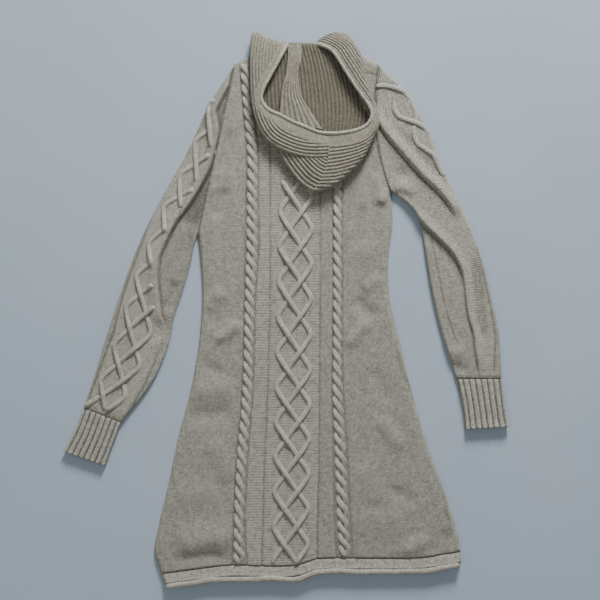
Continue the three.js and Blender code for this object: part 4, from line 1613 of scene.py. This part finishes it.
@dataclass(frozen=True)
class HoodPatch:
    """A ribbed patch of the hood between two lines, with its ribs along them.

    Attributes:
        name: the piece's name.
        start: the first line's points, with their heights.
        end: the last line's points, with their heights.
        ribs: how many ribs lie between them.
        rise: how far the middle stands above the lines.
        bulge: how far the end of the patch bows sideways.
        depth: how deep the grooves between ribs are.
        full_rib: breadth from which a rib has its whole depth.
        along: lines of points along the ribs.
        samples: points across a rib.
        yarn: what it is knitted from.
    """

    name: str
    start: Line
    end: Line
    ribs: int
    rise: float = 0.0
    depth: float = 1.6
    full_rib: float = 4.5
    along: int = 60
    samples: int = 6
    yarn: Yarn = SHADED_HOOD_YARN
    bulge: float = 0.0

    def build(self, rests_on: Sequence[str]) -> None:
        """Make the patch.

        Args:
            rests_on: names of what it lies on; not used.
        """
        first, last = rounded(self.start, self.along), rounded(self.end, self.along)
        across = np.linspace(0, 1, self.ribs * self.samples + 1)
        middle = lerp(first[:, None], last[:, None], across[None, :, None])
        share = np.linspace(0, 1, self.along)[:, None]
        middle[..., 2] += self.rise * np.sin(math.pi * across)[None]
        middle[..., 0] += self.bulge * 4 * (across * (1 - across))[None] * share
        normal = Knitter.normals(middle)
        normal *= np.where(normal[..., 2:] < 0, -1, 1)
        wave = rib_wave(across * self.ribs)
        rib = wave**0.8 - 0.7
        gap = np.linalg.norm(last - first, axis=1) / self.ribs
        depth = self.depth * np.clip(gap / self.full_rib, 0.15, 1)
        outer = middle + (HALF + depth[:, None] * rib[None])[..., None] * normal
        inner = middle - HALF * normal
        piece = Knitter.shell(self.name, outer, inner, Knitter.ruled(middle), self.yarn)
        # Painted shade in the grooves between the ribs, weaker where the ribs crowd together.
        groove = rib_groove_shade(wave, 0.5)[None] * np.clip(gap / self.full_rib, 0, 1)[:, None]
        Knitter.mark(piece, groove, "groove")
        dress(piece)
        declare(middle)


HOOD_LEFT = HoodBand(Side.LEFT, (
    (14, 436, -52, 440, 3.2, 1.2, 0, 0), (6, 450, -54, 466, 5.5, 2, 0, -3),
    (1, 456, -53, 476, 11.5, 5, 0, -3), (-4, 447, -57, 468, 19, 9, 0, -2),
    (-19, 418, -59, 436, 23.5, 12, 0, 0), (-31, 396, -59, 404, 26, 14, 0, 0),
    (-41, 376, -58, 376, 27, 14, 0, 0), (-43, 358, -56, 354, 27.5, 14, 0, 0),
    (-30, 341, -49, 326, 28, 14, 0, 0), (-10, 332, -36, 300, 28, 13, 0, 0),
    (8, 322, -18, 283, 28, 12, 0, 0), (30, 313, 14, 268, 28, 10, 0, 0),
    (50, 304.5, 42, 262, 27.2, 8, 0, 0), (69, 300.5, 74, 262, 26.0, 7, 2, 0),
), plain=(0, 0, 2, 6, 9, 9, 9, 9, 10, 14, 17, 17, 17, 17), pitch=(5.6,) * 14, from_outside=True)
HOOD_RIGHT = HoodBand(Side.RIGHT, (
    (40, 436, 119, 432, 3.2, 1.2, 0, 0), (44, 450, 96, 462, 5.5, 2, 0, 6),
    (52, 456, 99, 473, 11.5, 5, 0, 8), (64, 453, 106, 467, 18, 8, 0, 4),
    (80, 444, 113, 457, 22.5, 10, 0, 0), (92, 427, 125, 437, 25, 12, 0, 0),
    (105, 406, 130, 416, 26, 13, 0, 0), (117, 387, 134, 395, 26.5, 13, 0, 0),
    (131, 367, 142, 372, 27, 13, 0, 0), (143, 349, 150, 350, 27, 13, 0, 0),
    (147, 335, 155, 331, 27.5, 14, 0, 0), (144, 324, 154, 314, 28, 14, 0, 0),
    (137, 315, 147, 299, 28, 14, 0, 0), (124, 308, 137, 276, 28.5, 14, 0, 0),
    (109, 304, 125, 256, 28.5, 14, 0, 0), (92, 301.5, 105, 236, 28, 14, 3, 0),
    (80, 301, 80, 216, 27, 13, 6, 0), (67.5, 300.5, 47, 205, 26, 12, 12, 0),
), plain=(0, 0, 0, 0, 0, 0, 0, 0, 0, 1, 4, 9, 13, 16, 17, 17, 17, 17),
    pitch=(5, 5, 5, 5, 5, 5, 5, 5, 4.6, 4.2, 4, 4, 4, 4.4, 5, 5.6, 6.1, 6.4))


@dataclass(frozen=True)
class Hood:
    """The ribbed hood dropped on the back, with the rolled edge of its face.

    Attributes:
        edge_radius: radius of the rolled edge.
    """

    edge_radius: float = 3.1

    def build(self) -> None:
        """Make the nape, the pleats, both sides and the rolled edge."""
        HoodPatch("hood_nape", (
            (-44, 443, 7.0), (-44, 455, 10.2), (-42, 457, 14.2), (-40, 430, 14.0), (-40, 380, 13.2),
            (-34, 330, 13.0), (-6, 280, 13.0), (26, 226, 13.0),
        ), (
            (112, 439, 7.0), (112, 452, 10.2), (111, 455, 14.2), (128, 420, 14.0), (140, 380, 13.2),
            (142, 330, 13.0), (120, 280, 13.0), (72, 226, 13.0),
        ), ribs=27, depth=1.8, along=110, yarn=SHADED_NAPE_YARN).build(["dress_back"])
        HoodPatch("hood_pleat", (
            (4, 452, 17), (3, 430, 20), (0, 404, 21), (-7, 378, 21.5), (-11, 344, 21), (-14, 318, 20),
        ), (
            (26, 454, 15), (26, 430, 17), (20, 404, 17.5), (27, 367, 17.5), (46, 335, 17.5), (62, 310, 17.5),
        ), ribs=7, rise=3.4, depth=2.2).build(["hood_nape"])
        HoodPatch("hood_gusset", (
            (-16, 292, 21), (-7, 264, 19), (8, 240, 18), (26, 219, 18), (47, 205, 19),
        ), (
            (60, 266, 24), (64, 264, 25), (71, 262, 26),
        ), ribs=10, rise=3.6, depth=2.0, bulge=5.0).build(["hood_nape"])
        edge = self.rolled_edge()
        HOOD_LEFT.build([edge])
        HOOD_RIGHT.build([])

    def rolled_edge(self) -> Piece:
        """Make the rolled edge all along the face of the hood.

        Returns:
            The rolled edge.
        """
        path = []
        for band in (HOOD_LEFT, HOOD_RIGHT):
            share = np.linspace(0, len(band.rows) - 1, 150)
            rows = through(range(len(band.rows)), band.rows, share)
            line = np.stack([rows[:, 0], rows[:, 1], rows[:, 4]], axis=1)
            away = rows[:, 0:2] - rows[:, 2:4]
            away /= np.linalg.norm(away, axis=1, keepdims=True)
            line[:, :2] += away * 2.2
            line[:, 2] += 0.8
            path.append(line if band.side is Side.LEFT else line[::-1])
        line = rounded(np.concatenate([path[0][:-4], path[1][4:]])[::6], 300)
        line[:, 2] = np.maximum(line[:, 2], self.edge_radius + 0.2)
        breadth = 2 * self.edge_radius
        edge = Knitter.cable("hood_rolled_edge", [line], breadth, breadth, TRIM_YARN, 12)
        return dress(edge, "hood_edge")


# Studio


@dataclass(frozen=True)
class Studio:
    """The floor, the soft lights and the camera straight above the dress, in metres.

    Attributes:
        view_middle: what the camera looks straight down on.
        view_width: width of its view on the floor.
        height: its height.
    """

    view_middle: tuple[float, float] = (0.0233, 0.0172)
    view_width: float = 1.02
    height: float = 2.4

    def camera(self) -> None:
        """Set the camera looking straight down, with the neck at the top of its view."""
        lens = bpy.data.cameras.new("above")
        lens.sensor_width = 36.0
        lens.lens = 36.0 * self.height / self.view_width
        camera = bpy.data.objects.new("above", lens)
        camera.location = (*self.view_middle, self.height)
        bpy.context.scene.collection.objects.link(camera)
        bpy.context.scene.camera = camera

    def floor(self) -> None:
        """Lay the pale floor."""
        bpy.ops.object.select_all(action="DESELECT")
        bpy.ops.mesh.primitive_plane_add(size=9.0, location=(0, 0, 0))
        floor = bpy.context.object
        floor.name = "floor"
        made = bpy.data.materials.new("pale_floor")
        graph = Graph(made)
        place = graph.node("ShaderNodeTexCoord").outputs["Object"]
        stone = graph.blend(graph.noise(place, 3.0, 4.0), (0.40, 0.47, 0.53), (0.50, 0.57, 0.62))
        graph.surface({"Base Color": stone, "Roughness": 0.55, "Specular IOR Level": 0.25})
        floor.data.materials.append(made)

    def light(
        self, name: str, place: tuple[float, float, float], size: float, power: float, colour: Colour
    ) -> None:
        """Set one soft lamp, aimed at the dress.

        Args:
            name: the lamp's name.
            place: where it stands.
            size: its width.
            power: its power in watts.
            colour: its colour.
        """
        lamp = bpy.data.lights.new(name, "AREA")
        lamp.size = size
        lamp.energy = power
        lamp.color = colour
        stand = bpy.data.objects.new(name, lamp)
        stand.location = place
        away = np.array(place) / np.linalg.norm(place)
        stand.rotation_euler = (math.acos(away[2]), 0.0, math.atan2(away[0], -away[1]))
        bpy.context.scene.collection.objects.link(stand)

    def lights(self) -> None:
        """Set the key from above the neck, the fill and the room's soft light."""
        self.light("key", (0.60, 2.7, 1.35), 0.8, 141.0, (0.92, 0.96, 1.0))
        self.light("fill", (-1.8, -1.6, 2.4), 2.4, 12.0, (1.0, 0.97, 0.93))
        world = bpy.data.worlds.new("room")
        bpy.context.scene.world = world
        world.use_nodes = True
        glow = world.node_tree.nodes["Background"]
        glow.inputs[0].default_value, glow.inputs[1].default_value = (0.82, 0.90, 1.0, 1.0), 0.30


def main() -> None:
    """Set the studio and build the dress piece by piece."""
    logging.basicConfig(level=logging.INFO, format="%(name)s: %(message)s")
    studio = Studio()
    studio.camera()
    studio.floor()
    studio.lights()
    body = Body()
    body.front()
    body.back()
    Hem().build()
    sleeves()
    Hood().build()
    bpy.context.view_layer.update()


if __name__ == "__main__":
    main()
